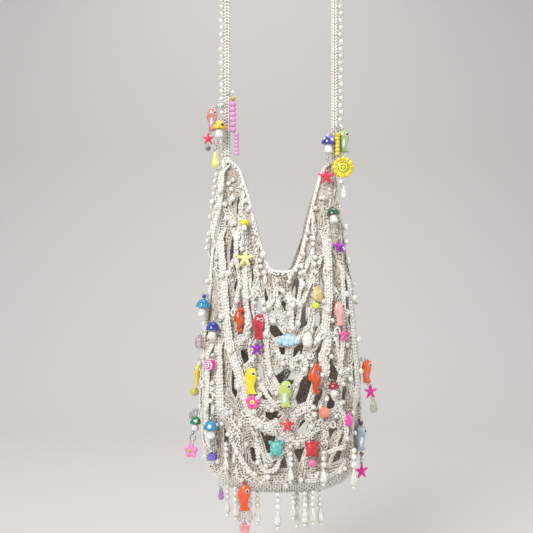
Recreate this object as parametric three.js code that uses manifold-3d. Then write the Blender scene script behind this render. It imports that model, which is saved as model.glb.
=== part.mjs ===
// Crochet mini bag: a tall net of crocheted cotton strands, worked in the round and drawn up to a peak at each
// side, a crocheted strap with a row of pearls, and strings of ceramic, glass and pearl charms.
// Millimetres. +X is to the right of the front, +Z up, and the origin is the inside of the strap's top.
import * as THREE from 'three';
import { mergeVertices } from 'three/addons/utils/BufferGeometryUtils.js';
import Module from 'manifold-3d';

const wasm = await Module();
wasm.setup();

// The bag's body. Its height is 0 at the underside of the base.
const SIDE_HEIGHT = 268;
const HALF_WIDTH = 66;
const HALF_DEPTH = 53;
const SQUARENESS = 0.8;
const WALL = 3.2;
const HALF_STRAND = 2.2;
const GAP_WIDTH = 36;
const GAP_HEIGHT = 27;
const FOOT_SHARE = 0.055;

// The strap and its row of pearls
const STRAP_DROP = 235;
const STRAP_THICK = 4.5;
const STRAP_DEEP = 6;
const STRAP_CHAMFER = 1.2;
const STRAP_PEARL = 4.8;

// The charms, each by the length that its kind is sold by
const FISH_LENGTH = 20;
const STAR_SPAN = 13;
const MUSHROOM_HEIGHT = 13;
const SEAHORSE_HEIGHT = 22;
const TURTLE_LENGTH = 14;
const SHELL_LENGTH = 12;
const CLOUD_WIDTH = 18;
const DROP_LENGTH = 11;
const BEAD = 5;
const BEAD_ROW_LENGTH = 25;
const CUBE = 7;
const FLOWER_SPAN = 10.5;
const ROSETTE_SPAN = 19;
const RING = 6;
const WIRE = 1.1;
const LINK = 3;
const TASSEL_LENGTH = 28;

// Sides of what is turned round: beads and rows of beads, and glazed charms
const BEAD_SIDES = 10;
const CERAMIC_SIDES = 8;

// Pieces that touch on the real bag keep this distance
const CLEARANCE = 0.3;

// Cross-sections of the body: height, half width and half depth, as shares of the body's sizes
const SECTIONS = [
  { up: 0, wide: 0.7, deep: 0.66 },
  { up: 0.02, wide: 0.83, deep: 0.81 },
  { up: 0.05, wide: 0.91, deep: 0.91 },
  { up: 0.11, wide: 0.98, deep: 0.97 },
  { up: 0.26, wide: 1, deep: 1 },
  { up: 0.41, wide: 0.97, deep: 0.95 },
  { up: 0.56, wide: 0.91, deep: 0.85 },
  { up: 0.72, wide: 0.85, deep: 0.68 },
  { up: 0.87, wide: 0.765, deep: 0.45 },
  { up: 0.96, wide: 0.72, deep: 0.27 },
  { up: 1, wide: 0.7, deep: 0.19 },
];

// Top edge of the body: its height as a share of the side height, by the turn in degrees from the front's middle
const TOP_EDGE = [
  { turn: 0, up: 0.65 },
  { turn: 6, up: 0.66 },
  { turn: 11, up: 0.71 },
  { turn: 18, up: 0.79 },
  { turn: 28, up: 0.885 },
  { turn: 42, up: 0.96 },
  { turn: 62, up: 0.99 },
  { turn: 90, up: 1 },
];

// Gaps of the net on the front half. The back half repeats them. The columns are the turn of the gap's middle in
// degrees, its height as a share of the top edge's height there, and its shares of the widest and the tallest gap.
const GAPS = [
  [-89, 0.55, 0.3, 0.9],
  [-88, 0.3, 0.25, 0.8],
  [-66, 0.2, 0.25, 0.6],
  [-66, 0.42, 0.25, 0.7],
  [-43, 0.74, 0.3, 1.1],
  [-41, 0.89, 0.25, 0.7],
  [-40, 0.17, 0.25, 0.7],
  [-35, 0.66, 0.35, 0.6],
  [-31, 0.36, 0.25, 1],
  [-27, 0.63, 0.35, 0.45],
  [-27, 0.57, 0.5, 1.2],
  [-25, 0.88, 0.25, 0.5],
  [-25, 0.74, 0.25, 0.7],
  [-22, 0.49, 0.5, 0.7],
  [-19, 0.66, 0.25, 0.8],
  [-19, 0.81, 0.25, 0.8],
  [-17, 0.44, 0.4, 0.9],
  [-14, 0.16, 0.45, 0.5],
  [-13, 0.75, 0.3, 0.75],
  [-10, 0.5, 0.35, 0.7],
  [-8, 0.85, 0.3, 0.55],
  [-8, 0.66, 0.35, 0.5],
  [-7, 0.45, 0.4, 0.8],
  [-5, 0.24, 0.6, 0.7],
  [-4, 0.82, 0.35, 0.55],
  [-4, 0.36, 0.4, 0.45],
  [-2, 0.74, 0.45, 0.55],
  [-1, 0.64, 0.4, 0.5],
  [0, 0.15, 0.55, 0.5],
  [0, 0.53, 1, 1.3],
  [2, 0.84, 0.35, 0.55],
  [3, 0.78, 0.45, 0.55],
  [7, 0.89, 0.4, 1],
  [7, 0.63, 0.6, 0.65],
  [8, 0.18, 0.5, 0.55],
  [10, 0.29, 0.35, 0.5],
  [11, 0.45, 0.6, 1],
  [12, 0.72, 0.55, 1.1],
  [13, 0.85, 0.55, 1],
  [15, 0.91, 0.25, 0.5],
  [18, 0.17, 0.4, 0.5],
  [20, 0.35, 0.4, 0.6],
  [23, 0.6, 0.4, 0.9],
  [24, 0.5, 0.45, 0.9],
  [28, 0.88, 0.3, 0.75],
  [28, 0.69, 0.3, 1.2],
  [30, 0.3, 0.35, 0.7],
  [32, 0.2, 0.35, 0.45],
  [33, 0.39, 0.6, 0.9],
  [35, 0.6, 0.3, 0.85],
  [38, 0.12, 0.5, 0.45],
  [40, 0.69, 0.35, 0.8],
  [46, 0.29, 0.4, 1],
  [47, 0.43, 0.25, 0.8],
  [66, 0.29, 0.25, 0.7],
  [66, 0.56, 0.25, 0.8],
  [84, 0.42, 0.25, 0.8],
  [86, 0.68, 0.25, 1],
  [89, 0.16, 0.25, 0.5],
];

// Least share of the way to its cell's corner that a gap's corner keeps
const SMALLEST_PART = 0.12;
// Height of the chart of gaps, counted in degrees of turn, where the strands are laid midway between gaps
const CHART_DEGREES = 95;
const LONGEST_EDGE_TURN = 18;
const LONGEST_RIM_TURN = 6;
const SAME_CORNER = 2;

const degrees = THREE.MathUtils.degToRad;

// A smooth curve through a table's rows
function follow(rows, key, column, at) {
  let i = 0;
  while (i < rows.length - 2 && at > rows[i + 1][key]) i += 1;
  const slope = (k) => {
    const low = rows[Math.max(k - 1, 0)];
    const high = rows[Math.min(k + 1, rows.length - 1)];
    return (high[column] - low[column]) / (high[key] - low[key]);
  };
  const a = rows[i];
  const b = rows[i + 1];
  const span = b[key] - a[key];
  const t = THREE.MathUtils.clamp((at - a[key]) / span, 0, 1);
  const ends = (2 * t ** 3 - 3 * t ** 2 + 1) * a[column] + (3 * t ** 2 - 2 * t ** 3) * b[column];
  return ends + span * ((t ** 3 - 2 * t ** 2 + t) * slope(i) + (t ** 3 - t ** 2) * slope(i + 1));
}

function rounded(value) {
  return Math.sign(value) * Math.abs(value) ** SQUARENESS;
}

function halfWidthAt(height) {
  return HALF_WIDTH * follow(SECTIONS, 'up', 'wide', height / SIDE_HEIGHT);
}

function halfDepthAt(height) {
  return HALF_DEPTH * follow(SECTIONS, 'up', 'deep', height / SIDE_HEIGHT);
}

function topEdgeAt(turn) {
  const folded = Math.abs(THREE.MathUtils.euclideanModulo(turn + 90, 180) - 90);
  return SIDE_HEIGHT * follow(TOP_EDGE, 'turn', 'up', folded);
}

// A point of the body's outer face, by its turn and its share of the top edge's height
function outerPoint(turn, share) {
  const z = share * topEdgeAt(turn);
  const angle = degrees(turn);
  return new THREE.Vector3(
    halfWidthAt(z) * rounded(Math.sin(angle)),
    -halfDepthAt(z) * rounded(Math.cos(angle)),
    z,
  );
}

function outwardAt(turn, share) {
  const step = 0.01;
  const from = Math.min(share, 1 - step);
  const point = outerPoint(turn, from);
  const across = outerPoint(turn + 1, from).sub(outerPoint(turn - 1, from));
  const up = outerPoint(turn, from + step).sub(point);
  return across.cross(up).normalize();
}

function innerPoint(turn, share) {
  return outerPoint(turn, share).addScaledVector(outwardAt(turn, share), -WALL);
}

// The strands run midway between the gaps: each gap lies in a cell, and neighbouring cells meet in a strand's middle
function cutCell(cell, seed, other) {
  const dx = other.turn - seed.turn;
  const dy = other.rise - seed.rise;
  const reach = (other.turn ** 2 + other.rise ** 2 - seed.turn ** 2 - seed.rise ** 2) / 2;
  const kept = [];
  cell.forEach((a, i) => {
    const b = cell[(i + 1) % cell.length];
    const da = a.turn * dx + a.rise * dy - reach;
    const db = b.turn * dx + b.rise * dy - reach;
    if (da <= 0) kept.push(a);
    if (da * db < 0) {
      const k = da / (da - db);
      kept.push({ turn: a.turn + (b.turn - a.turn) * k, rise: a.rise + (b.rise - a.rise) * k });
    }
  });
  return kept;
}

const corners = [];

// Corners that almost meet are one corner, and the back half repeats the front's
function cornerAt({ turn, rise }) {
  const onEdge = (value) => value < FOOT_SHARE * CHART_DEGREES + 1e-6 || value > CHART_DEGREES - 1e-6;
  const turned = (other) => Math.round((turn - other.turn) / 180);
  let index = corners.findIndex((other) => {
    const apart = Math.hypot(turn - other.turn - 180 * turned(other), rise - other.rise);
    return apart < SAME_CORNER && onEdge(rise) === onEdge(other.rise);
  });
  if (index < 0) index = corners.push({ turn, rise }) - 1;
  const halves = turned(corners[index]);
  return { index, turn: corners[index].turn + 180 * halves, rise: corners[index].rise };
}

function cellAround([turn, up], everySeed) {
  const seed = { turn, rise: up * CHART_DEGREES };
  const floor = FOOT_SHARE * CHART_DEGREES;
  let cell = [
    { turn: turn - 60, rise: floor },
    { turn: turn + 60, rise: floor },
    { turn: turn + 60, rise: CHART_DEGREES },
    { turn: turn - 60, rise: CHART_DEGREES },
  ];
  for (const other of everySeed) {
    if (other.turn !== seed.turn || other.rise !== seed.rise) cell = cutCell(cell, seed, other);
  }
  const outline = [];
  const add = (corner) => {
    const last = outline[outline.length - 1];
    const first = outline[0];
    const same = (other) => other && other.index === corner.index && Math.abs(other.turn - corner.turn) < 1;
    if (!same(last) && !same(first)) outline.push(corner);
  };
  cell.map(cornerAt).forEach((a, i, all) => {
    const b = all[(i + 1) % all.length];
    const onRim = Math.min(a.rise, b.rise) > CHART_DEGREES - 1e-6;
    const longest = onRim ? LONGEST_RIM_TURN : LONGEST_EDGE_TURN;
    const pieces = Math.max(1, Math.ceil(Math.abs(b.turn - a.turn) / longest));
    add(a);
    for (let k = 1; k < pieces; k += 1) {
      const share = k / pieces;
      add(cornerAt({ turn: a.turn + (b.turn - a.turn) * share, rise: a.rise + (b.rise - a.rise) * share }));
    }
  });
  return outline;
}

// The gap's outline has its cell's corners, drawn in towards its middle until they lie on the gap's oval or leave half
// a strand to the cell's edges
function gapInside(cell, [turn, up, wide, tall]) {
  const seed = { turn, rise: up * CHART_DEGREES };
  const perDegree = outerPoint(turn + 1, up).distanceTo(outerPoint(turn - 1, up)) / 2;
  const perRise = topEdgeAt(turn) / CHART_DEGREES;
  const room = (g) => Math.min(...cell.map((a, i) => {
    const b = cell[(i + 1) % cell.length];
    const edge = [(b.turn - a.turn) * perDegree, (b.rise - a.rise) * perRise];
    const off = [(g.turn - a.turn) * perDegree, (g.rise - a.rise) * perRise];
    return (edge[0] * off[1] - edge[1] * off[0]) / Math.hypot(...edge);
  }));
  return cell.map((c) => {
    const across = (c.turn - turn) * perDegree / (wide * GAP_WIDTH / 2);
    const high = (c.rise - seed.rise) * perRise / (tall * GAP_HEIGHT / 2);
    const drawn = (part) => ({
      turn: turn + (c.turn - turn) * part,
      rise: seed.rise + (c.rise - seed.rise) * part,
    });
    let part = Math.min(1, 1 / Math.hypot(across, high));
    while (part > SMALLEST_PART && room(drawn(part)) < HALF_STRAND) part -= 0.02;
    return drawn(part);
  });
}

const everySeed = [-180, 0, 180].flatMap((round) => (
  GAPS.map(([turn, up]) => ({ turn: turn + round, rise: up * CHART_DEGREES }))
));
const cells = GAPS.map((gap) => cellAround(gap, everySeed));

function closedMesh(points, faces) {
  const geometry = new THREE.BufferGeometry();
  geometry.setAttribute('position', new THREE.Float32BufferAttribute(points.flatMap((p) => p.toArray()), 3));
  geometry.setIndex(faces.flat());
  geometry.computeVertexNormals();
  return geometry;
}

// Middle lines of the strands, as pairs of points on the outer face, that charms hang on
const strandLines = [];

function netGeometry() {
  const points = [];
  const faces = [];
  const known = new Map();
  const put = (key, make) => {
    if (!known.has(key)) known.set(key, points.push(make()) - 1);
    return known.get(key);
  };
  const quad = (a, b, c, d) => faces.push([a, b, c], [a, c, d]);
  const floor = FOOT_SHARE * CHART_DEGREES;
  const footLevels = [FOOT_SHARE, FOOT_SHARE * 0.36, 0];
  const onLine = (value, line) => Math.abs(value - line) < 1e-6;
  for (const round of [0, 180]) {
    cells.forEach((cell, n) => {
      const gap = gapInside(cell, GAPS[n]);
      const corner = cell.map((c) => {
        const half = THREE.MathUtils.euclideanModulo(Math.round((c.turn + round - corners[c.index].turn) / 180), 2);
        const turn = c.turn + round;
        const share = c.rise / CHART_DEGREES;
        const name = `${c.index} ${half}`;
        return {
          turn,
          name,
          outer: put(`outer ${name}`, () => outerPoint(turn, share)),
          inner: put(`inner ${name}`, () => innerPoint(turn, share)),
        };
      });
      const hole = gap.map((g, k) => ({
        outer: put(`gap outer ${n} ${round} ${k}`, () => outerPoint(g.turn + round, g.rise / CHART_DEGREES)),
        inner: put(`gap inner ${n} ${round} ${k}`, () => innerPoint(g.turn + round, g.rise / CHART_DEGREES)),
      }));
      cell.forEach((c, k) => {
        const next = (k + 1) % cell.length;
        const [a, b, g, h] = [corner[k], corner[next], hole[k], hole[next]];
        quad(a.outer, b.outer, h.outer, g.outer);
        quad(b.inner, a.inner, g.inner, h.inner);
        quad(g.outer, h.outer, h.inner, g.inner);
        strandLines.push([points[a.outer], points[b.outer]]);
        if (onLine(c.rise, CHART_DEGREES) && onLine(cell[next].rise, CHART_DEGREES)) {
          quad(b.outer, a.outer, a.inner, b.inner);
        }
        if (onLine(c.rise, floor) && onLine(cell[next].rise, floor)) {
          const level = (end, side, at) => (at === 0 ? end[side] : put(`foot ${side} ${at} ${end.name}`, () => (
            side === 'outer' ? outerPoint(end.turn, footLevels[at]) : innerPoint(end.turn, footLevels[at])
          )));
          for (let at = 0; at < footLevels.length - 1; at += 1) {
            quad(level(a, 'outer', at + 1), level(b, 'outer', at + 1), level(b, 'outer', at), level(a, 'outer', at));
            quad(level(b, 'inner', at + 1), level(a, 'inner', at + 1), level(a, 'inner', at), level(b, 'inner', at));
          }
          const last = footLevels.length - 1;
          const under = put('middle outer', () => new THREE.Vector3(0, 0, 0));
          const within = put('middle inner', () => new THREE.Vector3(0, 0, WALL));
          faces.push([level(a, 'outer', last), under, level(b, 'outer', last)]);
          faces.push([level(a, 'inner', last), level(b, 'inner', last), within]);
        }
      });
    });
  }
  return closedMesh(points, faces);
}

const bag = new THREE.Group();
bag.position.z = -(SIDE_HEIGHT + STRAP_DROP);

function addMesh(name, geometry, color, roughness, metalness = 0) {
  const material = new THREE.MeshStandardMaterial({ color, roughness, metalness, flatShading: true });
  const mesh = new THREE.Mesh(geometry, material);
  mesh.name = name;
  bag.add(mesh);
  return mesh;
}

const IVORY_YARN = '#d9d0c3';
const PEARL_WHITE = '#e6e2da';

addMesh('net_body', netGeometry(), IVORY_YARN, 0.95);

// The strap stands on the two peaks, over the middle of the net's wall, and turns over in a half circle
const STRAP_REACH = halfWidthAt(SIDE_HEIGHT) - WALL / 2;
const STRAP_FOOT = SIDE_HEIGHT + CLEARANCE;
const STRAP_TURN_HEIGHT = SIDE_HEIGHT + STRAP_DROP - STRAP_REACH + STRAP_THICK / 2;
const STRAP_TURN_STEPS = 12;

function strapRing(section, offset, place) {
  const out = new THREE.Vector3(Math.cos(place.angle), 0, Math.sin(place.angle));
  const middle = new THREE.Vector3(0, 0, place.height).addScaledVector(out, STRAP_REACH + offset);
  return section.map(([across, deep]) => {
    const point = middle.clone().addScaledVector(out, across);
    point.y += deep;
    return point;
  });
}

function alongStrap(section, offset) {
  const places = [{ angle: 0, height: STRAP_FOOT }];
  for (let i = 0; i <= STRAP_TURN_STEPS; i += 1) {
    places.push({ angle: Math.PI * i / STRAP_TURN_STEPS, height: STRAP_TURN_HEIGHT });
  }
  places.push({ angle: Math.PI, height: STRAP_FOOT });
  const rings = places.map((place) => strapRing(section, offset, place));
  const points = rings.flat();
  const count = section.length;
  const faces = [];
  for (let r = 0; r < rings.length - 1; r += 1) {
    for (let k = 0; k < count; k += 1) {
      const next = (k + 1) % count;
      const [a, b, c, d] = [r * count + k, r * count + next, (r + 1) * count + next, (r + 1) * count + k];
      faces.push([a, b, c], [a, c, d]);
    }
  }
  for (let k = 1; k < count - 1; k += 1) {
    const end = (rings.length - 1) * count;
    faces.push([0, k + 1, k], [end, end + k, end + k + 1]);
  }
  return closedMesh(points, faces);
}

function bandSection() {
  const x = STRAP_THICK / 2;
  const y = STRAP_DEEP / 2;
  const c = STRAP_CHAMFER;
  return [[x, -y + c], [x, y - c], [x - c, y], [-x + c, y], [-x, y - c], [-x, -y + c], [-x + c, -y], [x - c, -y]];
}

function roundSection(radius, sides) {
  return Array.from({ length: sides }, (_, k) => {
    const angle = 2 * Math.PI * k / sides;
    return [radius * Math.cos(angle), radius * Math.sin(angle)];
  });
}

addMesh('strap', alongStrap(bandSection(), 0), IVORY_YARN, 0.95);
const PEARL_ROW_OUT = STRAP_THICK / 2 + CLEARANCE + STRAP_PEARL / 2;
addMesh('strap_pearls', alongStrap(roundSection(STRAP_PEARL / 2, BEAD_SIDES), PEARL_ROW_OUT), PEARL_WHITE, 0.25);

// Solid modelling of the charms: x is to the right, z up, and the back of each lies on y = 0
function asSolid(geometry) {
  const bare = geometry.clone();
  bare.deleteAttribute('normal');
  bare.deleteAttribute('uv');
  const merged = mergeVertices(bare, 1e-4);
  const position = merged.attributes.position;
  const corner = (k) => new THREE.Vector3().fromBufferAttribute(position, k);
  const faces = [];
  let volume = 0;
  for (let i = 0; i < merged.index.count; i += 3) {
    const [a, b, c] = [0, 1, 2].map((k) => merged.index.getX(i + k));
    if (a !== b && b !== c && c !== a) {
      faces.push([a, b, c]);
      volume += corner(a).dot(corner(b).cross(corner(c)));
    }
  }
  const outward = volume > 0 ? faces : faces.map(([a, b, c]) => [a, c, b]);
  return new wasm.Manifold(new wasm.Mesh({
    numProp: 3,
    vertProperties: new Float32Array(position.array),
    triVerts: new Uint32Array(outward.flat()),
  }));
}

function fused(geometries) {
  const mesh = geometries.map(asSolid).reduce((whole, solid) => whole.add(solid)).getMesh();
  const geometry = new THREE.BufferGeometry();
  geometry.setAttribute('position', new THREE.BufferAttribute(new Float32Array(mesh.vertProperties), 3));
  geometry.setIndex(new THREE.BufferAttribute(new Uint32Array(mesh.triVerts), 1));
  geometry.computeVertexNormals();
  return geometry;
}

// A turned form about the vertical axis, from its lowest point to its highest, flattened to the given thickness
function turned(profile, size, sides, flat = 1) {
  const points = profile.map(([radius, height]) => new THREE.Vector2(radius * size, height * size));
  const widest = Math.max(...profile.map(([radius]) => radius)) * size;
  return new THREE.LatheGeometry(points, sides).rotateX(Math.PI / 2).scale(1, flat, 1)
    .translate(0, -widest * flat, 0);
}

function prism(outline, size, thick) {
  const shape = new THREE.Shape(outline.map(([x, z]) => new THREE.Vector2(x * size, z * size)));
  return new THREE.ExtrudeGeometry(shape, { depth: thick, bevelEnabled: false }).rotateX(Math.PI / 2);
}

function mirrored(half) {
  return [...half, ...half.slice().reverse().filter(([x]) => x !== 0).map(([x, z]) => [-x, z])];
}

// An outline of petals or arms: the tips lie at the outer share and the notches at the inner one
function lobed(count, inner) {
  return Array.from({ length: count * 2 }, (_, k) => {
    const angle = Math.PI / 2 + Math.PI * k / count;
    const radius = k % 2 ? inner / 2 : 0.5;
    return [radius * Math.cos(angle), radius * Math.sin(angle)];
  });
}

function starfish(span) {
  const thick = span * 0.26;
  const rim = lobed(5, 0.42).map(([x, z]) => new THREE.Vector3(x * span, -thick / 2, z * span));
  const points = [...rim, new THREE.Vector3(0, -thick, 0), new THREE.Vector3(0, 0, 0)];
  const faces = rim.flatMap((_, k) => {
    const next = (k + 1) % rim.length;
    return [[k, next, rim.length], [next, k, rim.length + 1]];
  });
  return closedMesh(points, faces);
}

const FISH_BODY = [[0, -0.3], [0.17, -0.08], [0.24, 0.17], [0.15, 0.42], [0, 0.5]];
const FISH_TAIL = [[0, -0.44], [0.2, -0.5], [0.19, -0.38], [0.05, -0.22]];
const SEAHORSE = [
  [-0.02, 0.5], [0.12, 0.46], [0.15, 0.34], [0.3, 0.28], [0.28, 0.22], [0.12, 0.22], [0.17, 0.05], [0.1, -0.16],
  [0.04, -0.3], [0.14, -0.38], [0.1, -0.5], [-0.06, -0.46], [-0.1, -0.3], [-0.06, -0.12], [-0.2, 0.02],
  [-0.06, 0.2], [-0.12, 0.38],
].reverse();
const TURTLE = mirrored([[0, 0.5], [0.1, 0.44], [0.1, 0.32], [0.38, 0.36], [0.3, 0.16], [0.24, -0.16], [0.3, -0.42],
  [0.12, -0.34], [0, -0.5]]);
const SHELL = [[0, -0.5], [0.14, -0.44], [0.4, 0.04], [0.34, 0.36], [0, 0.5]];
const CLOUD = mirrored([[0, 0.28], [0.16, 0.24], [0.26, 0.12], [0.42, 0.1], [0.5, -0.04], [0.42, -0.2], [0.2, -0.24],
  [0, -0.2]]);
const MUSHROOM = [[0, -0.5], [0.17, -0.48], [0.14, 0], [0.39, 0.02], [0.37, 0.2], [0.22, 0.42], [0, 0.5]];
const DROP = [[0, -0.5], [0.2, -0.38], [0.23, -0.18], [0.06, 0.42], [0, 0.5]];
const BALL = [[0, -0.5], [0.37, -0.35], [0.5, 0], [0.37, 0.35], [0, 0.5]];
const BEAD_ROW = [[0, -0.5], [0.085, -0.43], [0.085, 0.43], [0, 0.5]];
const PEARL_TASSEL = [[0, -1], [0.05, -0.95], [0.09, -0.72], [0.03, -0.48], [0.085, -0.36], [0.03, -0.24],
  [0.07, -0.13], [0, 0]];
const HANGING_PEARLS = PEARL_TASSEL.map(([radius, height]) => [radius, height + 0.5]);

const cube = () => new THREE.BoxGeometry(CUBE, CUBE, CUBE).rotateY(0.5).translate(0, -CUBE / 2, 0);
const wheel = () => new THREE.TorusGeometry(RING / 2 - WIRE / 2, WIRE / 2, 5, 10).rotateX(Math.PI / 2)
  .translate(0, -WIRE / 2, 0);

// Each kind of pendant: its height, its thickness from back to front, how far into it a wire reaches as a share of
// its height, and its solids
const KINDS = {
  fish: { tall: FISH_LENGTH, thick: 0.24 * FISH_LENGTH, make: () => [
    turned(FISH_BODY, FISH_LENGTH, CERAMIC_SIDES, 0.5),
    prism(mirrored(FISH_TAIL), FISH_LENGTH, 0.07 * FISH_LENGTH).translate(0, -0.08 * FISH_LENGTH, 0),
  ] },
  star: { tall: STAR_SPAN, thick: 0.26 * STAR_SPAN, held: 0.4, make: () => [starfish(STAR_SPAN)] },
  mushroom: { tall: MUSHROOM_HEIGHT, thick: 0.78 * MUSHROOM_HEIGHT, make: () => [turned(MUSHROOM, MUSHROOM_HEIGHT, CERAMIC_SIDES)] },
  seahorse: { tall: SEAHORSE_HEIGHT, thick: 0.16 * SEAHORSE_HEIGHT, make: () => [
    prism(SEAHORSE, SEAHORSE_HEIGHT, 0.16 * SEAHORSE_HEIGHT),
  ] },
  turtle: { tall: TURTLE_LENGTH, thick: 0.36 * TURTLE_LENGTH, make: () => [
    prism(TURTLE, TURTLE_LENGTH, 0.14 * TURTLE_LENGTH),
    turned(BALL, 0.64 * TURTLE_LENGTH, CERAMIC_SIDES, 0.56),
  ] },
  shell: { tall: SHELL_LENGTH, thick: 0.4 * SHELL_LENGTH, make: () => [turned(SHELL, SHELL_LENGTH, CERAMIC_SIDES, 0.5)] },
  cloud: { tall: 0.52 * CLOUD_WIDTH, thick: 0.28 * CLOUD_WIDTH, make: () => [
    prism(CLOUD, CLOUD_WIDTH, 0.28 * CLOUD_WIDTH),
  ] },
  drop: { tall: DROP_LENGTH, thick: 0.46 * DROP_LENGTH, make: () => [turned(DROP, DROP_LENGTH, CERAMIC_SIDES)] },
  bead: { tall: BEAD, thick: BEAD, make: () => [turned(BALL, BEAD, BEAD_SIDES)] },
  bead_row: { tall: BEAD_ROW_LENGTH, thick: 0.17 * BEAD_ROW_LENGTH, make: () => [turned(BEAD_ROW, BEAD_ROW_LENGTH, BEAD_SIDES)] },
  cube: { tall: CUBE, thick: 1.3 * CUBE, make: () => [cube()] },
  flower: { tall: FLOWER_SPAN, thick: 0.3 * FLOWER_SPAN, make: () => [
    prism(lobed(5, 0.62), FLOWER_SPAN, 0.3 * FLOWER_SPAN),
  ] },
  rosette: { tall: ROSETTE_SPAN, thick: 0.18 * ROSETTE_SPAN, make: () => [
    prism(lobed(12, 0.8), ROSETTE_SPAN, 0.18 * ROSETTE_SPAN),
  ] },
  ring: { tall: RING, thick: WIRE, make: () => [wheel()] },
  pearls: { tall: TASSEL_LENGTH, thick: 0.18 * TASSEL_LENGTH, make: () => [turned(HANGING_PEARLS, TASSEL_LENGTH, BEAD_SIDES)] },
};

function wireBetween(from, to) {
  const run = to.clone().sub(from);
  const rod = new THREE.CylinderGeometry(WIRE / 2, WIRE / 2, run.length(), 5);
  rod.applyQuaternion(new THREE.Quaternion().setFromUnitVectors(new THREE.Vector3(0, 1, 0), run.clone().normalize()));
  return rod.translate(...from.clone().add(to).multiplyScalar(0.5).toArray());
}

// A string of pendants, fused with its wires. The columns of a pendant are its kind, its size as a share of the
// kind's, the wire above it as a share of a link, and how far it hangs to the right and out, as shares of a link.
function stringOf(pendants, hook) {
  const solids = [];
  let wireStart = hook;
  let low = 0;
  pendants.forEach(([kind, size, link, right = 0, out = 0], i) => {
    const { tall, thick, held = 0.15, make } = KINDS[kind];
    const top = low - (i === 0 ? 0 : link * LINK);
    const middle = new THREE.Vector3(right * LINK, -CLEARANCE - out * LINK, top - tall * size / 2);
    make().forEach((geometry) => {
      solids.push(geometry.scale(size, size, size).translate(middle.x, middle.y, middle.z));
    });
    const deep = middle.y - thick * size / 2;
    const buried = held * tall * size;
    solids.push(wireBetween(wireStart, new THREE.Vector3(middle.x, deep, top - buried)));
    low = top - tall * size;
    wireStart = new THREE.Vector3(middle.x, deep, low + buried);
  });
  return fused(solids);
}

function addCharm(name, color, roughness, pendants, frame) {
  const axes = new THREE.Matrix4().makeBasis(frame.right, frame.outward.clone().negate(), frame.up);
  const inverse = axes.clone().setPosition(frame.place).invert();
  const mesh = addMesh(name, stringOf(pendants, frame.hook.clone().applyMatrix4(inverse)), color, roughness);
  mesh.quaternion.setFromRotationMatrix(axes);
  mesh.position.copy(frame.place);
}

function nearestStrand(point) {
  const line = new THREE.Line3();
  const found = new THREE.Vector3();
  let best = null;
  for (const [a, b] of strandLines) {
    line.set(a, b).closestPointToPoint(point, true, found);
    if (best === null || found.distanceTo(point) < best.distanceTo(point)) best = found.clone();
  }
  return best;
}

// A charm lies along the wall where the wall widens downwards and hangs plumb where it draws in, and its hook is on
// the nearest strand above it
function onWall(turn, height, out, faces) {
  const share = height * SIDE_HEIGHT / topEdgeAt(turn);
  const off = outwardAt(turn, share);
  if (off.z < 0 || faces !== undefined) off.setZ(0).normalize();
  const outward = faces === undefined ? off : new THREE.Vector3(Math.sin(degrees(faces)), -Math.cos(degrees(faces)), 0);
  const right = new THREE.Vector3(0, 0, 1).cross(outward).normalize();
  const up = outward.clone().cross(right);
  const place = outerPoint(turn, share).addScaledVector(off, out * LINK);
  const hook = nearestStrand(outerPoint(turn, share).addScaledVector(up, LINK));
  hook.addScaledVector(off, CLEARANCE + WIRE / 2);
  return { right, outward, up, place, hook };
}

const RIGHT = new THREE.Vector3(1, 0, 0);
const FRONT = new THREE.Vector3(0, -1, 0);
const UP = new THREE.Vector3(0, 0, 1);

// A place on the front of the strap, on its left (-1) or right (1) run, above the peaks as a share of the side height
// and beside the run's middle as a share of a link
function onStrap(side, above, beside) {
  const middle = side * STRAP_REACH;
  const aside = beside * LINK;
  const z = SIDE_HEIGHT * (1 + above);
  const edge = STRAP_THICK / 2 - STRAP_CHAMFER;
  const place = new THREE.Vector3(middle + aside, -STRAP_DEEP / 2, z);
  const hook = new THREE.Vector3(
    middle + THREE.MathUtils.clamp(aside, -edge, edge),
    -STRAP_DEEP / 2 - CLEARANCE - WIRE / 2,
    z + LINK,
  );
  return { right: RIGHT, outward: FRONT, up: UP, place, hook };
}

// Height of the body's underside over a place given as shares of the half width and half depth
function undersideAt(across, back) {
  const x = across * HALF_WIDTH;
  const y = back * HALF_DEPTH;
  const within = (z) => (
    Math.abs(x / halfWidthAt(z)) ** (2 / SQUARENESS) + Math.abs(y / halfDepthAt(z)) ** (2 / SQUARENESS)
  ) <= 1;
  let low = 0;
  let high = 0.26 * SIDE_HEIGHT;
  while (!within(low) && high - low > 0.01) {
    const middle = (low + high) / 2;
    if (within(middle)) high = middle;
    else low = middle;
  }
  return new THREE.Vector3(x, y, low);
}

function underBase(across, back, thick) {
  const hook = undersideAt(across, back).addScaledVector(UP, -CLEARANCE);
  const place = hook.clone().addScaledVector(UP, -LINK);
  place.y += CLEARANCE + thick / 2;
  return { right: RIGHT, outward: FRONT, up: UP, place, hook };
}

const GLAZED = 0.2;
const MATT = 0.7;

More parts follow.
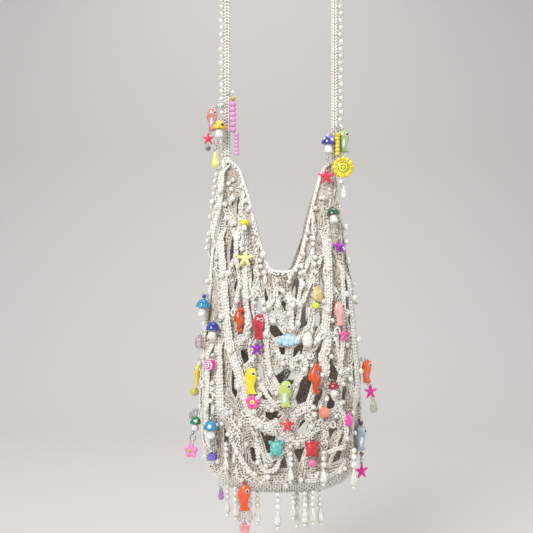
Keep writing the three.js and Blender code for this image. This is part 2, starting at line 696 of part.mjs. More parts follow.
// Charms on the body: name, turn in degrees, height of the first pendant's top as a share of the side height, how far
// out it hangs as a share of a link, colour, roughness, the string's pendants, and for a string that hangs clear of
// the wall the turn that it faces
const WALL_CHARMS = [
  ['mushroom_yellow', -27, 0.8, 0, '#d8cf2a', GLAZED, [['mushroom', 0.75, 0], ['star', 1.15, 5, 0.8]]],
  ['mushroom_green', 43, 0.835, 0, '#1f5a3c', GLAZED, [['mushroom', 1, 0], ['star', 1, 4, 1.2]]],
  ['drop_red', -116, 0.74, 0, '#c8202a', GLAZED, [['drop', 1.6, 0]]],
  ['mushroom_teal', -68, 0.565, 0.2, '#2f86a6', GLAZED, [['mushroom', 1.1, 0]]],
  ['mushroom_cobalt', -50, 0.5, 0, '#24318f', GLAZED, [['mushroom', 1.05, 0]]],
  ['bead_fluted', -78, 0.455, 0.2, '#d9c6c8', GLAZED, [['shell', 1, 0]]],
  ['seahorse_left', -27, 0.55, 0, '#e2602a', GLAZED, [['seahorse', 0.95, 0]]],
  ['fish_red', -12, 0.525, 0, '#c03a44', GLAZED, [['fish', 0.95, 0], ['star', 0.95, 0.2, -0.4, 0.6]]],
  ['shell_tan', 22, 0.605, 0, '#cdb487', MATT, [['shell', 1, 0], ['bead', 1.1, 0.1, -0.8]]],
  ['fish_pink', 41, 0.56, 0, '#e5a9a6', GLAZED, [['fish', 0.95, 0], ['star', 0.95, 0.3, 1]]],
  ['cloud_blue', 2, 0.47, 0, '#a9cbe0', GLAZED, [['cloud', 1, 0]]],
  ['shell_white', 13, 0.475, 0, '#dcd8d0', MATT, [['shell', 0.95, 0]]],
  ['bead_swirl', -50, 0.395, 0, '#c8488c', GLAZED, [['bead', 2, 0]]],
  ['fish_yellow_side', -84, 0.365, 0.3, '#d9b91f', GLAZED, [['fish', 0.95, 0], ['bead', 1.5, 0.1]]],
  ['fish_yellow', -16, 0.375, 0, '#e3c320', GLAZED, [['fish', 1, 0], ['flower', 1, 0.2, 0.4]]],
  ['fish_lime', 1, 0.34, 0, '#c9d98a', GLAZED, [['fish', 1, 0], ['star', 0.9, 2.6, 0.4]]],
  ['seahorse_right', 17, 0.39, 0, '#e2602a', GLAZED, [['seahorse', 1.1, 0]]],
  ['mushroom_red', 30, 0.335, 0, '#8e1c26', GLAZED, [['mushroom', 0.85, 0]]],
  ['bead_salmon', 23, 0.265, 0, '#e7907c', GLAZED, [['bead', 1.6, 0]]],
  ['fish_orange', 83, 0.38, 1.5, '#e2602a', GLAZED, [
    ['fish', 0.95, 0], ['star', 1, 0.3, 1.4], ['shell', 0.8, 0.5, 2.4],
  ], 25],
  ['drop_pink', 45, 0.245, 0, '#e0428e', GLAZED, [['drop', 1.1, 0]]],
  ['mushroom_emerald', -85, 0.205, 1.6, '#2c7a4c', GLAZED, [
    ['mushroom', 0.9, 0, 0, -1.6], ['ring', 1, 1, -0.6], ['star', 0.9, 0.6, -1],
  ], -20],
  ['mushroom_aqua', -47, 0.22, 0, '#3c9fb2', GLAZED, [['mushroom', 1.1, 0], ['cube', 0.75, 4, -0.4]]],
  ['turtle_turquoise', -2, 0.175, 0, '#68b3ad', GLAZED, [['turtle', 1, 0]]],
  ['turtle_red', 15, 0.17, 0, '#c9363c', GLAZED, [['turtle', 0.95, 0], ['bead', 1.2, 0.2]]],
  ['fish_grey', 70, 0.19, -0.2, '#8b97a3', GLAZED, [['fish', 1, 0], ['star', 1.05, 3.4, 0.4]], 30],
  ['tassel_front_1', -35, 0.16, 0, PEARL_WHITE, GLAZED, [['pearls', 0.9, 0]]],
  ['tassel_front_2', 3, 0.14, 0, PEARL_WHITE, GLAZED, [['pearls', 0.9, 0]]],
  ['tassel_front_3', 23, 0.14, 0, PEARL_WHITE, GLAZED, [['pearls', 1, 0]]],
  ['tassel_front_4', 52, 0.135, 0, PEARL_WHITE, GLAZED, [['pearls', 1.2, 0]]],
  ['starfish_back', 172, 0.5, 0, '#c8488c', GLAZED, [['star', 1, 0]]],
  ['fish_back', 205, 0.42, 0, '#e2602a', GLAZED, [['fish', 1, 0]]],
  ['mushroom_back', 145, 0.34, 0, '#24318f', GLAZED, [['mushroom', 1, 0]]],
];

// Charms on the strap: name, run, height of the first pendant's top above the peaks as a share of the side height, how
// far it hangs beside the run's middle as a share of a link, colour, roughness and the string's pendants
const STRAP_CHARMS = [
  ['fish_iridescent', -1, 0.153, -4, '#d7a3b7', GLAZED, [['fish', 0.95, 0], ['star', 0.85, 0.3, -1.2], ['bead', 0.9, 0.1, -1.2]]],
  ['mushroom_strap_yellow', -1, 0.11, -2, '#e0d05a', GLAZED, [['mushroom', 1.1, 0, 0, 1], ['drop', 1.35, 3.2, -1.2]]],
  ['bead_row_pink', -1, 0.19, 1.6, '#e8a8bd', GLAZED, [['bead', 0.9, 0], ['bead_row', 1, 0.1], ['bead_row', 0.75, 0.1, 1]]],
  ['mushroom_strap_cobalt', 1, 0.067, -1.93, '#24318f', GLAZED, [['mushroom', 1.15, 0], ['star', 1.1, 4.3, -0.7, 3.9]]],
  ['fish_green', 1, 0.086, 2.5, '#b9cdb0', GLAZED, [['fish', 0.95, 0]]],
  ['bead_row_yellow', 1, 0.073, 0.53, '#e8c21c', GLAZED, [
    ['bead_row', 0.75, 0, 0, 1.8], ['rosette', 1, 0.1, 1.4, 2.5], ['bead', 0.85, 0.1, 0.8, 2.5], ['drop', 1, 0.3, 1.6, 2.5],
  ]],
];

// Strings under the base: name, place as shares of the half width and half depth, colour and the string's pendants
const BASE_CHARMS = [
  ['fish_base', -0.44, -0.84, '#e2602a', [['fish', 1, 0], ['cube', 0.9, 3.3]]],
  ['crystal_lilac', -0.74, -0.3, '#b9a3c4', [['drop', 1, 0]]],
];

// Pearl tassels under the base: place as shares of the half width and half depth, and length as a share
const TASSELS = [
  [-0.65, -0.62, 0.93],
  [-0.55, -0.7, 0.97],
  [-0.5, -0.58, 0.97],
  [-0.385, -0.62, 0.93],
  [-0.29, -0.66, 0.95],
  [-0.05, -0.72, 1.08],
  [0.13, -0.76, 0.8],
  [0.18, -0.64, 1],
  [0.27, -0.74, 1.02],
  [0.315, -0.58, 1],
  [0.37, -0.72, 1],
  [0.46, -0.6, 1],
];

WALL_CHARMS.forEach(([name, turn, height, out, color, roughness, pendants, faces]) => {
  addCharm(name, color, roughness, pendants, onWall(turn, height, out, faces));
});
STRAP_CHARMS.forEach(([name, side, above, beside, color, roughness, pendants]) => {
  addCharm(name, color, roughness, pendants, onStrap(side, above, beside));
});
BASE_CHARMS.forEach(([name, across, back, color, pendants]) => {
  const [kind, size] = pendants[0];
  addCharm(name, color, GLAZED, pendants, underBase(across, back, KINDS[kind].thick * size));
});
TASSELS.forEach(([across, back, length], i) => {
  const tassel = new THREE.LatheGeometry(
    PEARL_TASSEL.map(([radius, height]) => new THREE.Vector2(radius * TASSEL_LENGTH, height * TASSEL_LENGTH * length)),
    BEAD_SIDES,
  ).rotateX(Math.PI / 2);
  const mesh = addMesh(`tassel_${i + 1}`, fused([tassel]), PEARL_WHITE, GLAZED);
  mesh.position.copy(undersideAt(across, back)).addScaledVector(UP, -CLEARANCE);
});

export default bag;
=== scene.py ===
"""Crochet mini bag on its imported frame: the stitches, the strap, the pearls and the strings of charms."""
import math

import bmesh
import bpy
import numpy as np
from mathutils import Matrix, Vector


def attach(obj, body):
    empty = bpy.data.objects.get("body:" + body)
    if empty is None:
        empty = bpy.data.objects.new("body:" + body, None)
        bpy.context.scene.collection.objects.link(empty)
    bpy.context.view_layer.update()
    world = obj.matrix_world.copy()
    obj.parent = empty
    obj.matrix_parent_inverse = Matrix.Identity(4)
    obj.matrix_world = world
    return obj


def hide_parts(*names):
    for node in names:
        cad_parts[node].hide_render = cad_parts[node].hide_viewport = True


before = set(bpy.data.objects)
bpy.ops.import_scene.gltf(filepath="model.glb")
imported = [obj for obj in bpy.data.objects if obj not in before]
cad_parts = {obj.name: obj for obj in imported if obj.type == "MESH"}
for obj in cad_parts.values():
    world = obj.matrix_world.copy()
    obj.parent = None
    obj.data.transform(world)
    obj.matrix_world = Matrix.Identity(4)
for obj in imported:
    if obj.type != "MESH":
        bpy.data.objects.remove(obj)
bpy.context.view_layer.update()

# The view: the photograph looks straight at the hanging bag, a little to the left of its middle and level
# with the upper third of the net. Lengths below are in millimetres from the underside of the base, which hangs
# 503 mm under the strap's inside, and MM turns them into the frame's metres.
MM = 0.001
BAG_DROP = 503.0
VIEW_DISTANCE = 620.0
VIEW_SIDE = -12.0
VIEW_HEIGHT = 178.0
LENS = 50.25

camera = bpy.data.objects.new("view", bpy.data.cameras.new("view"))
camera.data.lens = LENS
camera.data.sensor_width = 36.0
camera.data.clip_start = 0.02
camera.location = (VIEW_SIDE * MM, -VIEW_DISTANCE * MM, (VIEW_HEIGHT - BAG_DROP) * MM)
camera.rotation_euler = (math.radians(90), 0, 0)
bpy.context.scene.collection.objects.link(camera)
bpy.context.scene.camera = camera

# The studio: a pale paper sweep stands under and behind the bag, lit by a large soft lamp from the upper left,
# weaker ones from the right, from above and from behind, and a pale sky all round.
SWEEP_HALF_WIDTH = 3.0
SWEEP_FRONT = -2.5
SWEEP_BACK = 1.3
SWEEP_RADIUS = 0.6
SWEEP_RISE = 3.0
FLOOR_LEVEL = -0.62


def new_piece(name, mesh, *materials):
    """A mesh with its materials, as an object in the scene."""
    for material in materials:
        mesh.materials.append(material)
    piece = bpy.data.objects.new(name, mesh)
    bpy.context.scene.collection.objects.link(piece)
    return piece


def of_kind(kind, found):
    return [item for item in found if isinstance(item, kind)]


sweep = bmesh.new()
start = sweep.verts.new((-SWEEP_HALF_WIDTH, SWEEP_FRONT, FLOOR_LEVEL))
end = sweep.verts.new((SWEEP_HALF_WIDTH, SWEEP_FRONT, FLOOR_LEVEL))
edges = [sweep.edges.new((start, end))]
reach = bmesh.ops.extrude_edge_only(sweep, edges=edges)["geom"]
bmesh.ops.translate(sweep, verts=of_kind(bmesh.types.BMVert, reach),
                    vec=(0, SWEEP_BACK - SWEEP_RADIUS - SWEEP_FRONT, 0))
turned = bmesh.ops.spin(
    sweep, geom=of_kind(bmesh.types.BMEdge, reach), angle=math.radians(90), steps=16, axis=(1, 0, 0), use_merge=False,
    cent=(0, SWEEP_BACK - SWEEP_RADIUS, FLOOR_LEVEL + SWEEP_RADIUS),
)["geom_last"]
reach = bmesh.ops.extrude_edge_only(sweep, edges=of_kind(bmesh.types.BMEdge, turned))["geom"]
bmesh.ops.translate(sweep, verts=of_kind(bmesh.types.BMVert, reach), vec=(0, 0, SWEEP_RISE))
bmesh.ops.remove_doubles(sweep, verts=sweep.verts, dist=1e-5)
bmesh.ops.recalc_face_normals(sweep, faces=sweep.faces)
paper = bpy.data.materials.new("paper_sweep")
paper.use_nodes = True
paper_shader = paper.node_tree.nodes["Principled BSDF"]
paper_shader.inputs["Base Color"].default_value = (0.60, 0.585, 0.565, 1)
paper_shader.inputs["Roughness"].default_value = 0.9
sweep_mesh = bpy.data.meshes.new("paper_sweep")
sweep.to_mesh(sweep_mesh)
sweep.free()
for face in sweep_mesh.polygons:
    face.use_smooth = True
backdrop = new_piece("paper_sweep", sweep_mesh, paper)


def add_lamp(name, place, target, size, power, tint):
    """A square soft lamp that looks at a point of the bag."""
    lamp = bpy.data.objects.new(name, bpy.data.lights.new(name, "AREA"))
    lamp.data.shape = "SQUARE"
    lamp.data.size = size
    lamp.data.energy = power
    lamp.data.color = tint
    lamp.location = place
    lamp.rotation_euler = (Vector(target) - Vector(place)).to_track_quat("-Z", "Y").to_euler()
    bpy.context.scene.collection.objects.link(lamp)


BAG_MIDDLE = (0, 0, -0.36)
add_lamp("key_lamp", (-0.6, -1.1, 0.45), BAG_MIDDLE, 0.6, 15.5, (1.0, 0.99, 0.98))
add_lamp("fill_lamp", (1.15, -0.75, -0.15), BAG_MIDDLE, 0.9, 2.5, (0.96, 0.98, 1.0))
add_lamp("top_lamp", (0.15, 0.1, 0.75), BAG_MIDDLE, 0.7, 6, (1.0, 0.99, 0.97))
add_lamp("back_lamp", (-0.1, 0.95, 0.85), BAG_MIDDLE, 0.6, 4.5, (1.0, 0.99, 0.98))
sky = bpy.data.worlds.new("studio_sky")
sky.use_nodes = True
sky.node_tree.nodes["Background"].inputs["Color"].default_value = (0.98, 0.98, 1.0, 1)
sky.node_tree.nodes["Background"].inputs["Strength"].default_value = 0.55
bpy.context.scene.world = sky
bpy.context.scene.view_settings.view_transform = "Standard"

# The net: cotton yarn crocheted in the round over a flat base, up to a peak at each side. Irregular openings
# are left between its strands, and each strand is two or more columns of stitches wide, with a firmer edge
# round each gap. It is charted on a sheet: turn in degrees across, and CHART_DEGREES from the base to the top.
SIDE_HEIGHT = 268.0
HALF_WIDTH = 66.0
HALF_DEPTH = 53.0
SQUARENESS = 0.8
HALF_STRAND = 2.2
GAP_WIDTH = 36.0
GAP_HEIGHT = 27.0
SMALLEST_PART = 0.12
DRAW_IN = 0.02
FOOT_SHARE = 0.055
CHART_DEGREES = 95.0
LONGEST_EDGE_TURN = 18
LONGEST_RIM_TURN = 6
SAME_CORNER = 2

# Cross-sections of the body: height, half width and half depth, as shares of the body's sizes
SECTIONS = np.array([
    (0, 0.7, 0.66), (0.02, 0.83, 0.81), (0.05, 0.91, 0.91), (0.11, 0.98, 0.97), (0.26, 1, 1),
    (0.41, 0.97, 0.95), (0.56, 0.91, 0.85), (0.72, 0.85, 0.68), (0.87, 0.765, 0.45), (0.96, 0.72, 0.27),
    (1, 0.7, 0.19),
])
# Top edge of the body: turn in degrees from the front's middle, and height as a share of the side height
TOP_EDGE = np.array([
    (0, 0.65), (6, 0.66), (11, 0.71), (18, 0.79), (28, 0.885), (42, 0.96), (62, 0.99), (90, 1),
])
# Gaps of the front half: turn and height of the middle, and shares of the widest and the tallest gap
GAPS = [
    (-89, 0.55, 0.3, 0.9), (-88, 0.3, 0.25, 0.8), (-66, 0.2, 0.25, 0.6), (-66, 0.42, 0.25, 0.7),
    (-43, 0.74, 0.3, 1.1), (-41, 0.89, 0.25, 0.7), (-40, 0.17, 0.25, 0.7), (-35, 0.66, 0.35, 0.6),
    (-31, 0.36, 0.25, 1), (-27, 0.63, 0.35, 0.45), (-27, 0.57, 0.5, 1.2), (-25, 0.88, 0.25, 0.5),
    (-25, 0.74, 0.25, 0.7), (-22, 0.49, 0.5, 0.7), (-19, 0.66, 0.25, 0.8), (-19, 0.81, 0.25, 0.8),
    (-17, 0.44, 0.4, 0.9), (-14, 0.16, 0.45, 0.5), (-13, 0.75, 0.3, 0.75), (-10, 0.5, 0.35, 0.7),
    (-8, 0.85, 0.3, 0.55), (-8, 0.66, 0.35, 0.5), (-7, 0.45, 0.4, 0.8), (-5, 0.24, 0.6, 0.7),
    (-4, 0.82, 0.35, 0.55), (-4, 0.36, 0.4, 0.45), (-2, 0.74, 0.45, 0.55), (-1, 0.64, 0.4, 0.5),
    (0, 0.15, 0.55, 0.5), (0, 0.53, 1, 1.3), (2, 0.84, 0.35, 0.55), (3, 0.78, 0.45, 0.55),
    (7, 0.89, 0.4, 1), (7, 0.63, 0.6, 0.65), (8, 0.18, 0.5, 0.55), (10, 0.29, 0.35, 0.5),
    (11, 0.45, 0.6, 1), (12, 0.72, 0.55, 1.1), (13, 0.85, 0.55, 1), (15, 0.91, 0.25, 0.5),
    (18, 0.17, 0.4, 0.5), (20, 0.35, 0.4, 0.6), (23, 0.6, 0.4, 0.9), (24, 0.5, 0.45, 0.9),
    (28, 0.88, 0.3, 0.75), (28, 0.69, 0.3, 1.2), (30, 0.3, 0.35, 0.7), (32, 0.2, 0.35, 0.45),
    (33, 0.39, 0.6, 0.9), (35, 0.6, 0.3, 0.85), (38, 0.12, 0.5, 0.45), (40, 0.69, 0.35, 0.8),
    (46, 0.29, 0.4, 1), (47, 0.43, 0.25, 0.8), (66, 0.29, 0.25, 0.7), (66, 0.56, 0.25, 0.8),
    (84, 0.42, 0.25, 0.8), (86, 0.68, 0.25, 1), (89, 0.16, 0.25, 0.5),
]


def follow(rows, column, at):
    """A smooth curve through a table's rows."""
    keys, values = rows[:, 0], rows[:, column]
    slopes = np.empty_like(values)
    slopes[1:-1] = (values[2:] - values[:-2]) / (keys[2:] - keys[:-2])
    slopes[0] = (values[1] - values[0]) / (keys[1] - keys[0])
    slopes[-1] = (values[-1] - values[-2]) / (keys[-1] - keys[-2])
    low = np.searchsorted(keys[1:-1], at)
    span = keys[low + 1] - keys[low]
    t = np.clip((at - keys[low]) / span, 0, 1)
    ends = (2 * t**3 - 3 * t**2 + 1) * values[low] + (3 * t**2 - 2 * t**3) * values[low + 1]
    return ends + span * ((t**3 - 2 * t**2 + t) * slopes[low] + (t**3 - t**2) * slopes[low + 1])


def rounded(value):
    return np.sign(value) * np.abs(value) ** SQUARENESS


def top_edge(turn):
    folded = np.abs((np.asarray(turn, float) + 90) % 180 - 90)
    return SIDE_HEIGHT * follow(TOP_EDGE, 1, folded)


def wall_point(turn, share):
    """Points of the net's outer face, by their turn and their share of the top edge's height."""
    turn = np.asarray(turn, float)
    height = share * top_edge(turn)
    angle = np.radians(turn)
    x = HALF_WIDTH * follow(SECTIONS, 1, height / SIDE_HEIGHT) * rounded(np.sin(angle))
    y = -HALF_DEPTH * follow(SECTIONS, 2, height / SIDE_HEIGHT) * rounded(np.cos(angle))
    return np.stack((x, y, height), -1)


def unit(vectors):
    return vectors / np.maximum(np.linalg.norm(vectors, axis=-1, keepdims=True), 1e-9)


def wall_outward(turn, share):
    step = 0.01
    low = np.minimum(share, 1 - step)
    across = wall_point(turn + 1, low) - wall_point(turn - 1, low)
    up = wall_point(turn, low + step) - wall_point(turn, low)
    return unit(np.cross(across, up))


def cut_cell(cell, seed, other):
    """Keeps the part of a cell that is nearer to its own gap than to the other one."""
    toward = other - seed
    reach = (other @ other - seed @ seed) / 2
    kept = []
    for i, a in enumerate(cell):
        b = cell[(i + 1) % len(cell)]
        past_a, past_b = a @ toward - reach, b @ toward - reach
        if past_a <= 0:
            kept.append(a)
        if past_a * past_b < 0:
            kept.append(a + (b - a) * past_a / (past_a - past_b))
    return kept


corners = []
FLOOR_RISE = FOOT_SHARE * CHART_DEGREES
CELL_REACH = 60
ON_EDGE = 1e-6


def half_turns(turn):
    return math.floor(turn / 180 + 0.5)


def corner_at(point):
    """Corners that almost meet are one corner, and the back half repeats the front's."""
    def on_edge(rise):
        return rise < FLOOR_RISE + ON_EDGE or rise > CHART_DEGREES - ON_EDGE

    for index, (turn, rise) in enumerate(corners):
        halves = half_turns(point[0] - turn)
        apart = math.hypot(point[0] - turn - 180 * halves, point[1] - rise)
        if apart < SAME_CORNER and on_edge(point[1]) == on_edge(rise):
            return index, turn + 180 * halves, rise
    corners.append((point[0], point[1]))
    return len(corners) - 1, point[0], point[1]


def cell_around(gap):
    """The corners of the part of the chart that is nearest to one gap, with long edges cut into shorter ones."""
    seed = np.array((gap[0], gap[1] * CHART_DEGREES))
    left, right = gap[0] - CELL_REACH, gap[0] + CELL_REACH
    cell = [np.array(corner) for corner in (
        (left, FLOOR_RISE), (right, FLOOR_RISE), (right, CHART_DEGREES), (left, CHART_DEGREES))]
    for turned in (-180, 0, 180):
        for turn, up, _, _ in GAPS:
            other = np.array((turn + turned, up * CHART_DEGREES))
            if abs(other - seed).max() > 0:
                cell = cut_cell(cell, seed, other)
    found = [corner_at(point) for point in cell]
    outline = []

    def add(corner):
        ends = outline[-1:] + outline[:1]
        if not any(end[0] == corner[0] and abs(end[1] - corner[1]) < 1 for end in ends):
            outline.append(corner)

    for i, a in enumerate(found):
        b = found[(i + 1) % len(found)]
        longest = LONGEST_RIM_TURN if min(a[2], b[2]) > CHART_DEGREES - ON_EDGE else LONGEST_EDGE_TURN
        pieces = max(1, math.ceil(abs(b[1] - a[1]) / longest))
        add(a)
        for k in range(1, pieces):
            add(corner_at((a[1] + (b[1] - a[1]) * k / pieces, a[2] + (b[2] - a[2]) * k / pieces)))
    return outline


def gap_inside(cell, gap):
    """The gap's outline has its cell's corners, drawn in towards its middle until they lie on the gap's oval or
    leave half a strand to the cell's edges."""
    turn, up, wide, tall = gap
    seed = np.array((turn, up * CHART_DEGREES))
    edge = np.array([(corner[1], corner[2]) for corner in cell])
    per_degree = np.linalg.norm(wall_point(turn + 1, up) - wall_point(turn - 1, up)) / 2
    scale = np.array((per_degree, top_edge(turn) / CHART_DEGREES))
    runs = (np.roll(edge, -1, 0) - edge) * scale
    lengths = np.linalg.norm(runs, axis=1)
    outline = []
    for corner in edge:
        reach = (corner - seed) * scale / (wide * GAP_WIDTH / 2, tall * GAP_HEIGHT / 2)
        part = min(1.0, 1 / math.hypot(*reach))
        while True:
            place = seed + (corner - seed) * part
            off = (place - edge) * scale
            room = ((runs[:, 0] * off[:, 1] - runs[:, 1] * off[:, 0]) / lengths).min()
            if part <= SMALLEST_PART or room >= HALF_STRAND:
                break
            part -= DRAW_IN
        outline.append(place)
    return np.array(outline)


cells = [cell_around(gap) for gap in GAPS]
sides = {}
for turned in (0, 180):
    for cell, gap in zip(cells, GAPS):
        hole = gap_inside(cell, gap) + (turned, 0)
        marked = [((index, half_turns(turn + turned - corners[index][0]) % 2), (turn + turned, rise))
                  for index, turn, rise in cell]
        for k, (name, place) in enumerate(marked):
            after = (k + 1) % len(marked)
            sides[name, marked[after][0]] = (place, marked[after][1], hole[k], hole[after])

# A strand runs between two gaps, or between a gap and the top edge or the foot. Its rows here: both ends of its
# middle line, of its left edge and of its right edge, on the chart, and what lies on its right side.
strand_rows = []
right_side = []
for (first, last), (start, end, left_start, left_end) in sides.items():
    back = sides.get((last, first))
    if back is None:
        strand_rows.append((start, end, left_start, left_end, start, end))
        right_side.append("foot" if start[1] < FLOOR_RISE + ON_EDGE else "rim")
    elif first < last:
        shift = np.array((end[0] - back[0][0], 0))
        strand_rows.append((start, end, left_start, left_end, back[3] + shift, back[2] + shift))
        right_side.append("gap")
strands = np.array(strand_rows, float)
right_side = np.array(right_side)


def chart_line(which, pair, along):
    start, end = strands[which, 2 * pair], strands[which, 2 * pair + 1]
    return start + (end - start) * np.asarray(along)[..., None]


# How the strands lie: rounded at their free edges, sunk beside their firm bands, and pulled in and out
ROLL_DEPTH = 1.1
ROLL_WIDTH = 2.4
BAND_HALF = 3.9
BAND_SLOPE = 1.8
RECESS = 2.6
WAVE = 0.9


def smooth(low, high, value):
    t = np.clip((value - low) / (high - low), 0, 1)
    return t * t * (3 - 2 * t)


def strand_place(which, across, along):
    """Places on the chart, across from a strand's left edge (0) to its right (1), with how far each is from
    the strand's middle line and from its nearer free edge."""
    middle, left, right = (chart_line(which, pair, along) for pair in range(3))
    points = [wall_point(line[..., 0], line[..., 1] / CHART_DEGREES) for line in (middle, left, right)]
    wide_left = np.linalg.norm(points[1] - points[0], axis=-1)
    wide_right = np.linalg.norm(points[2] - points[0], axis=-1)
    from_left = across * (wide_left + wide_right)
    past = from_left - wide_left
    to_left = np.clip(-past / np.maximum(wide_left, 1e-6), 0, 1.1)[..., None]
    to_right = np.clip(past / np.maximum(wide_right, 1e-6), 0, 1.1)[..., None]
    chart = middle + (left - middle) * to_left + (right - middle) * to_right
    from_right = np.where(right_side[which] == "foot", ROLL_WIDTH, wide_left + wide_right - from_left)
    return chart, np.abs(past), np.minimum(from_left, from_right)


def sunk(which, across, along):
    """How far a place lies in the loose mesh that is sunk between the firm bands, from 0 to 1."""
    chart, from_middle, _ = strand_place(which, across, along)
    above_foot = smooth(0.07, 0.12, chart[..., 1] / CHART_DEGREES)
    return smooth(BAND_HALF, BAND_HALF + BAND_SLOPE, from_middle) * above_foot


def on_strand(which, across, along):
    """Points on the strands, with the outward direction there. A strand is rounded off towards its free edges,
    sunk beside its firm middle band, and pulled a little in and out by the weight of the charms."""
    chart, _, to_edge = strand_place(which, across, along)
    turn, rise = chart[..., 0], chart[..., 1]
    share = rise / CHART_DEGREES
    outward = wall_outward(turn, share)
    roll = ROLL_DEPTH * (1 - np.clip(to_edge / ROLL_WIDTH, 0, 1)) ** 2
    pulled = np.sin(turn * 0.19 + rise * 0.11) * np.sin(rise * 0.23 - turn * 0.07)
    depth = roll + RECESS * sunk(which, across, along) - WAVE * pulled * smooth(0.05, 0.2, share)
    return wall_point(turn, share) - outward * depth[..., None], outward


def strand_sizes():
    """Length and mean width of every strand, in millimetres."""
    which = np.arange(len(strands))

    def place(across, along):
        return on_strand(which, np.full(len(which), float(across)), np.full(len(which), float(along)))[0]

    foot, middle, head = (place(0.5, along) for along in (0, 0.5, 1))
    long = np.linalg.norm(middle - foot, axis=1) + np.linalg.norm(head - middle, axis=1)
    wide = sum(np.linalg.norm(place(1, along) - place(0, along), axis=1) for along in (0.1, 0.5, 0.9)) / 3
    return long, wide


strand_long, strand_wide = strand_sizes()

# The yarn: spun ivory cotton. Each stitch is a V of two short arms of it, thin at both ends where it dips
# under its neighbours, and every stitched piece below is laid from copies of one such arm.
YARN_WIDE = 1.55
YARN_DEEP = 1.25
STITCH_WIDTH = 3.9
STITCH_RISE = 2.5
random = np.random.default_rng(7)


def yarn_arm(around, rings, arch):
    """One arm along +Y, a millimetre wide, long and deep, arched towards +Z."""
    arm = bmesh.new()
    turn = Matrix.Rotation(math.radians(90), 4, "X") @ Matrix.Diagonal((1.15, 1.15, 1, 1))
    arm.loops.layers.uv.new("yarn")
    bmesh.ops.create_uvsphere(
        arm, u_segments=around, v_segments=rings, radius=0.5, matrix=turn, calc_uvs=True)
    for vert in arm.verts:
        vert.co.z += arch * (0.25 - vert.co.y ** 2)
    mesh = bpy.data.meshes.new("arm")
    arm.to_mesh(mesh)
    arm.free()
    return mesh


def lay_copies(name, template, places, across, along, outward, tones, material):
    """One mesh of many copies of a template: each has its middle, and the three directions that the template's X, Y
    and Z are stretched to. Every copy has a tone, which falls off towards the copy's two ends as painted shade, where
    its yarn dips under its neighbours."""
    count, corners_each = len(places), len(template.vertices)
    shape = np.empty(corners_each * 3)
    template.vertices.foreach_get("co", shape)
    shape = shape.reshape(-1, 3)
    axes = np.stack((across, along, outward), 1)
    points = np.einsum("vk,nkc->nvc", shape, axes) + places[:, None]
    loops_each, faces_each = len(template.loops), len(template.polygons)
    loop_corner = np.empty(loops_each, np.int32)
    template.loops.foreach_get("vertex_index", loop_corner)
    face_start = np.empty(faces_each, np.int32)
    face_size = np.empty(faces_each, np.int32)
    template.polygons.foreach_get("loop_start", face_start)
    template.polygons.foreach_get("loop_total", face_size)
    mesh = bpy.data.meshes.new(name)
    mesh.vertices.add(count * corners_each)
    mesh.vertices.foreach_set("co", ((points + (0, 0, -BAG_DROP)) * MM).ravel())
    mesh.loops.add(count * loops_each)
    copy = np.arange(count)[:, None]
    mesh.loops.foreach_set("vertex_index", (loop_corner + copy * corners_each).ravel())
    mesh.polygons.add(count * faces_each)
    mesh.polygons.foreach_set("loop_start", (face_start + copy * loops_each).ravel())
    mesh.polygons.foreach_set("loop_total", np.tile(face_size, count))
    mesh.polygons.foreach_set("use_smooth", np.ones(count * faces_each, bool))
    uvs = np.empty(loops_each * 2)
    template.uv_layers[0].data.foreach_get("uv", uvs)
    mesh.uv_layers.new(name="yarn").data.foreach_set("uv", np.tile(uvs, count))
    # Painted shade: the tone darkens towards each copy's two ends.
    painted_end_shade = 1.04 - 0.55 * np.clip(np.abs(shape[:, 1]) * 2, 0, 1) ** 2.5
    tone = mesh.attributes.new("tone", "FLOAT", "POINT")
    tone.data.foreach_set("value", (tones[:, None] * painted_end_shade).ravel())
    mesh.update()
    mesh.validate()
    return new_piece(name, mesh, material)


def arms_between(starts, ends, outward, wide=YARN_WIDE, deep=YARN_DEEP, longer=1.12):
    """Middles and directions of yarn arms that run between two rows of points."""
    run = ends - starts
    side = unit(np.cross(run, outward))
    face = unit(np.cross(side, run))
    wide, deep = (np.reshape(size, (-1, 1)) for size in (wide, deep))
    return (starts + ends) / 2, side * wide, run * longer, face * deep


def joined(laid):
    """Several sets of arms as one set."""
    return [np.concatenate(part) for part in zip(*laid)]


def add_node(tree, kind, label="", **values):
    """A shader node whose sockets are set by name or, as i0, i1 and so on, by number, from values or outputs."""
    node = tree.nodes.new("ShaderNode" + kind)
    node.label = label
    set_sockets(tree, node, values)
    return node


def set_sockets(tree, node, values):
    for name, value in values.items():
        numbered = name[0] == "i" and name[1:].isdigit()
        socket = node.inputs[int(name[1:]) if numbered else name.replace("_", " ")]
        if isinstance(value, bpy.types.NodeSocket):
            tree.links.new(value, socket)
        else:
            socket.default_value = value


def math_node(tree, operation, first, second=0.0, third=0.0):
    node = add_node(tree, "Math", i0=first, i1=second, i2=third)
    node.operation = operation
    return node.outputs[0]


def new_group(name, inputs, outputs):
    """An empty node group with named sockets, and its input and output nodes."""
    group = bpy.data.node_groups.new(name, "ShaderNodeTree")
    for socket, kind in inputs:
        group.interface.new_socket(socket, in_out="INPUT", socket_type="NodeSocket" + kind)
    for socket, kind in outputs:
        group.interface.new_socket(socket, in_out="OUTPUT", socket_type="NodeSocket" + kind)
    return group, group.nodes.new("NodeGroupInput"), group.nodes.new("NodeGroupOutput")


def place_group(tree, group, **values):
    node = tree.nodes.new("ShaderNodeGroup")
    node.node_tree = group
    set_sockets(tree, node, values)
    return node


def new_material(name):
    material = bpy.data.materials.new(name)
    material.use_nodes = True
    tree = material.node_tree
    return material, tree, tree.nodes["Principled BSDF"]


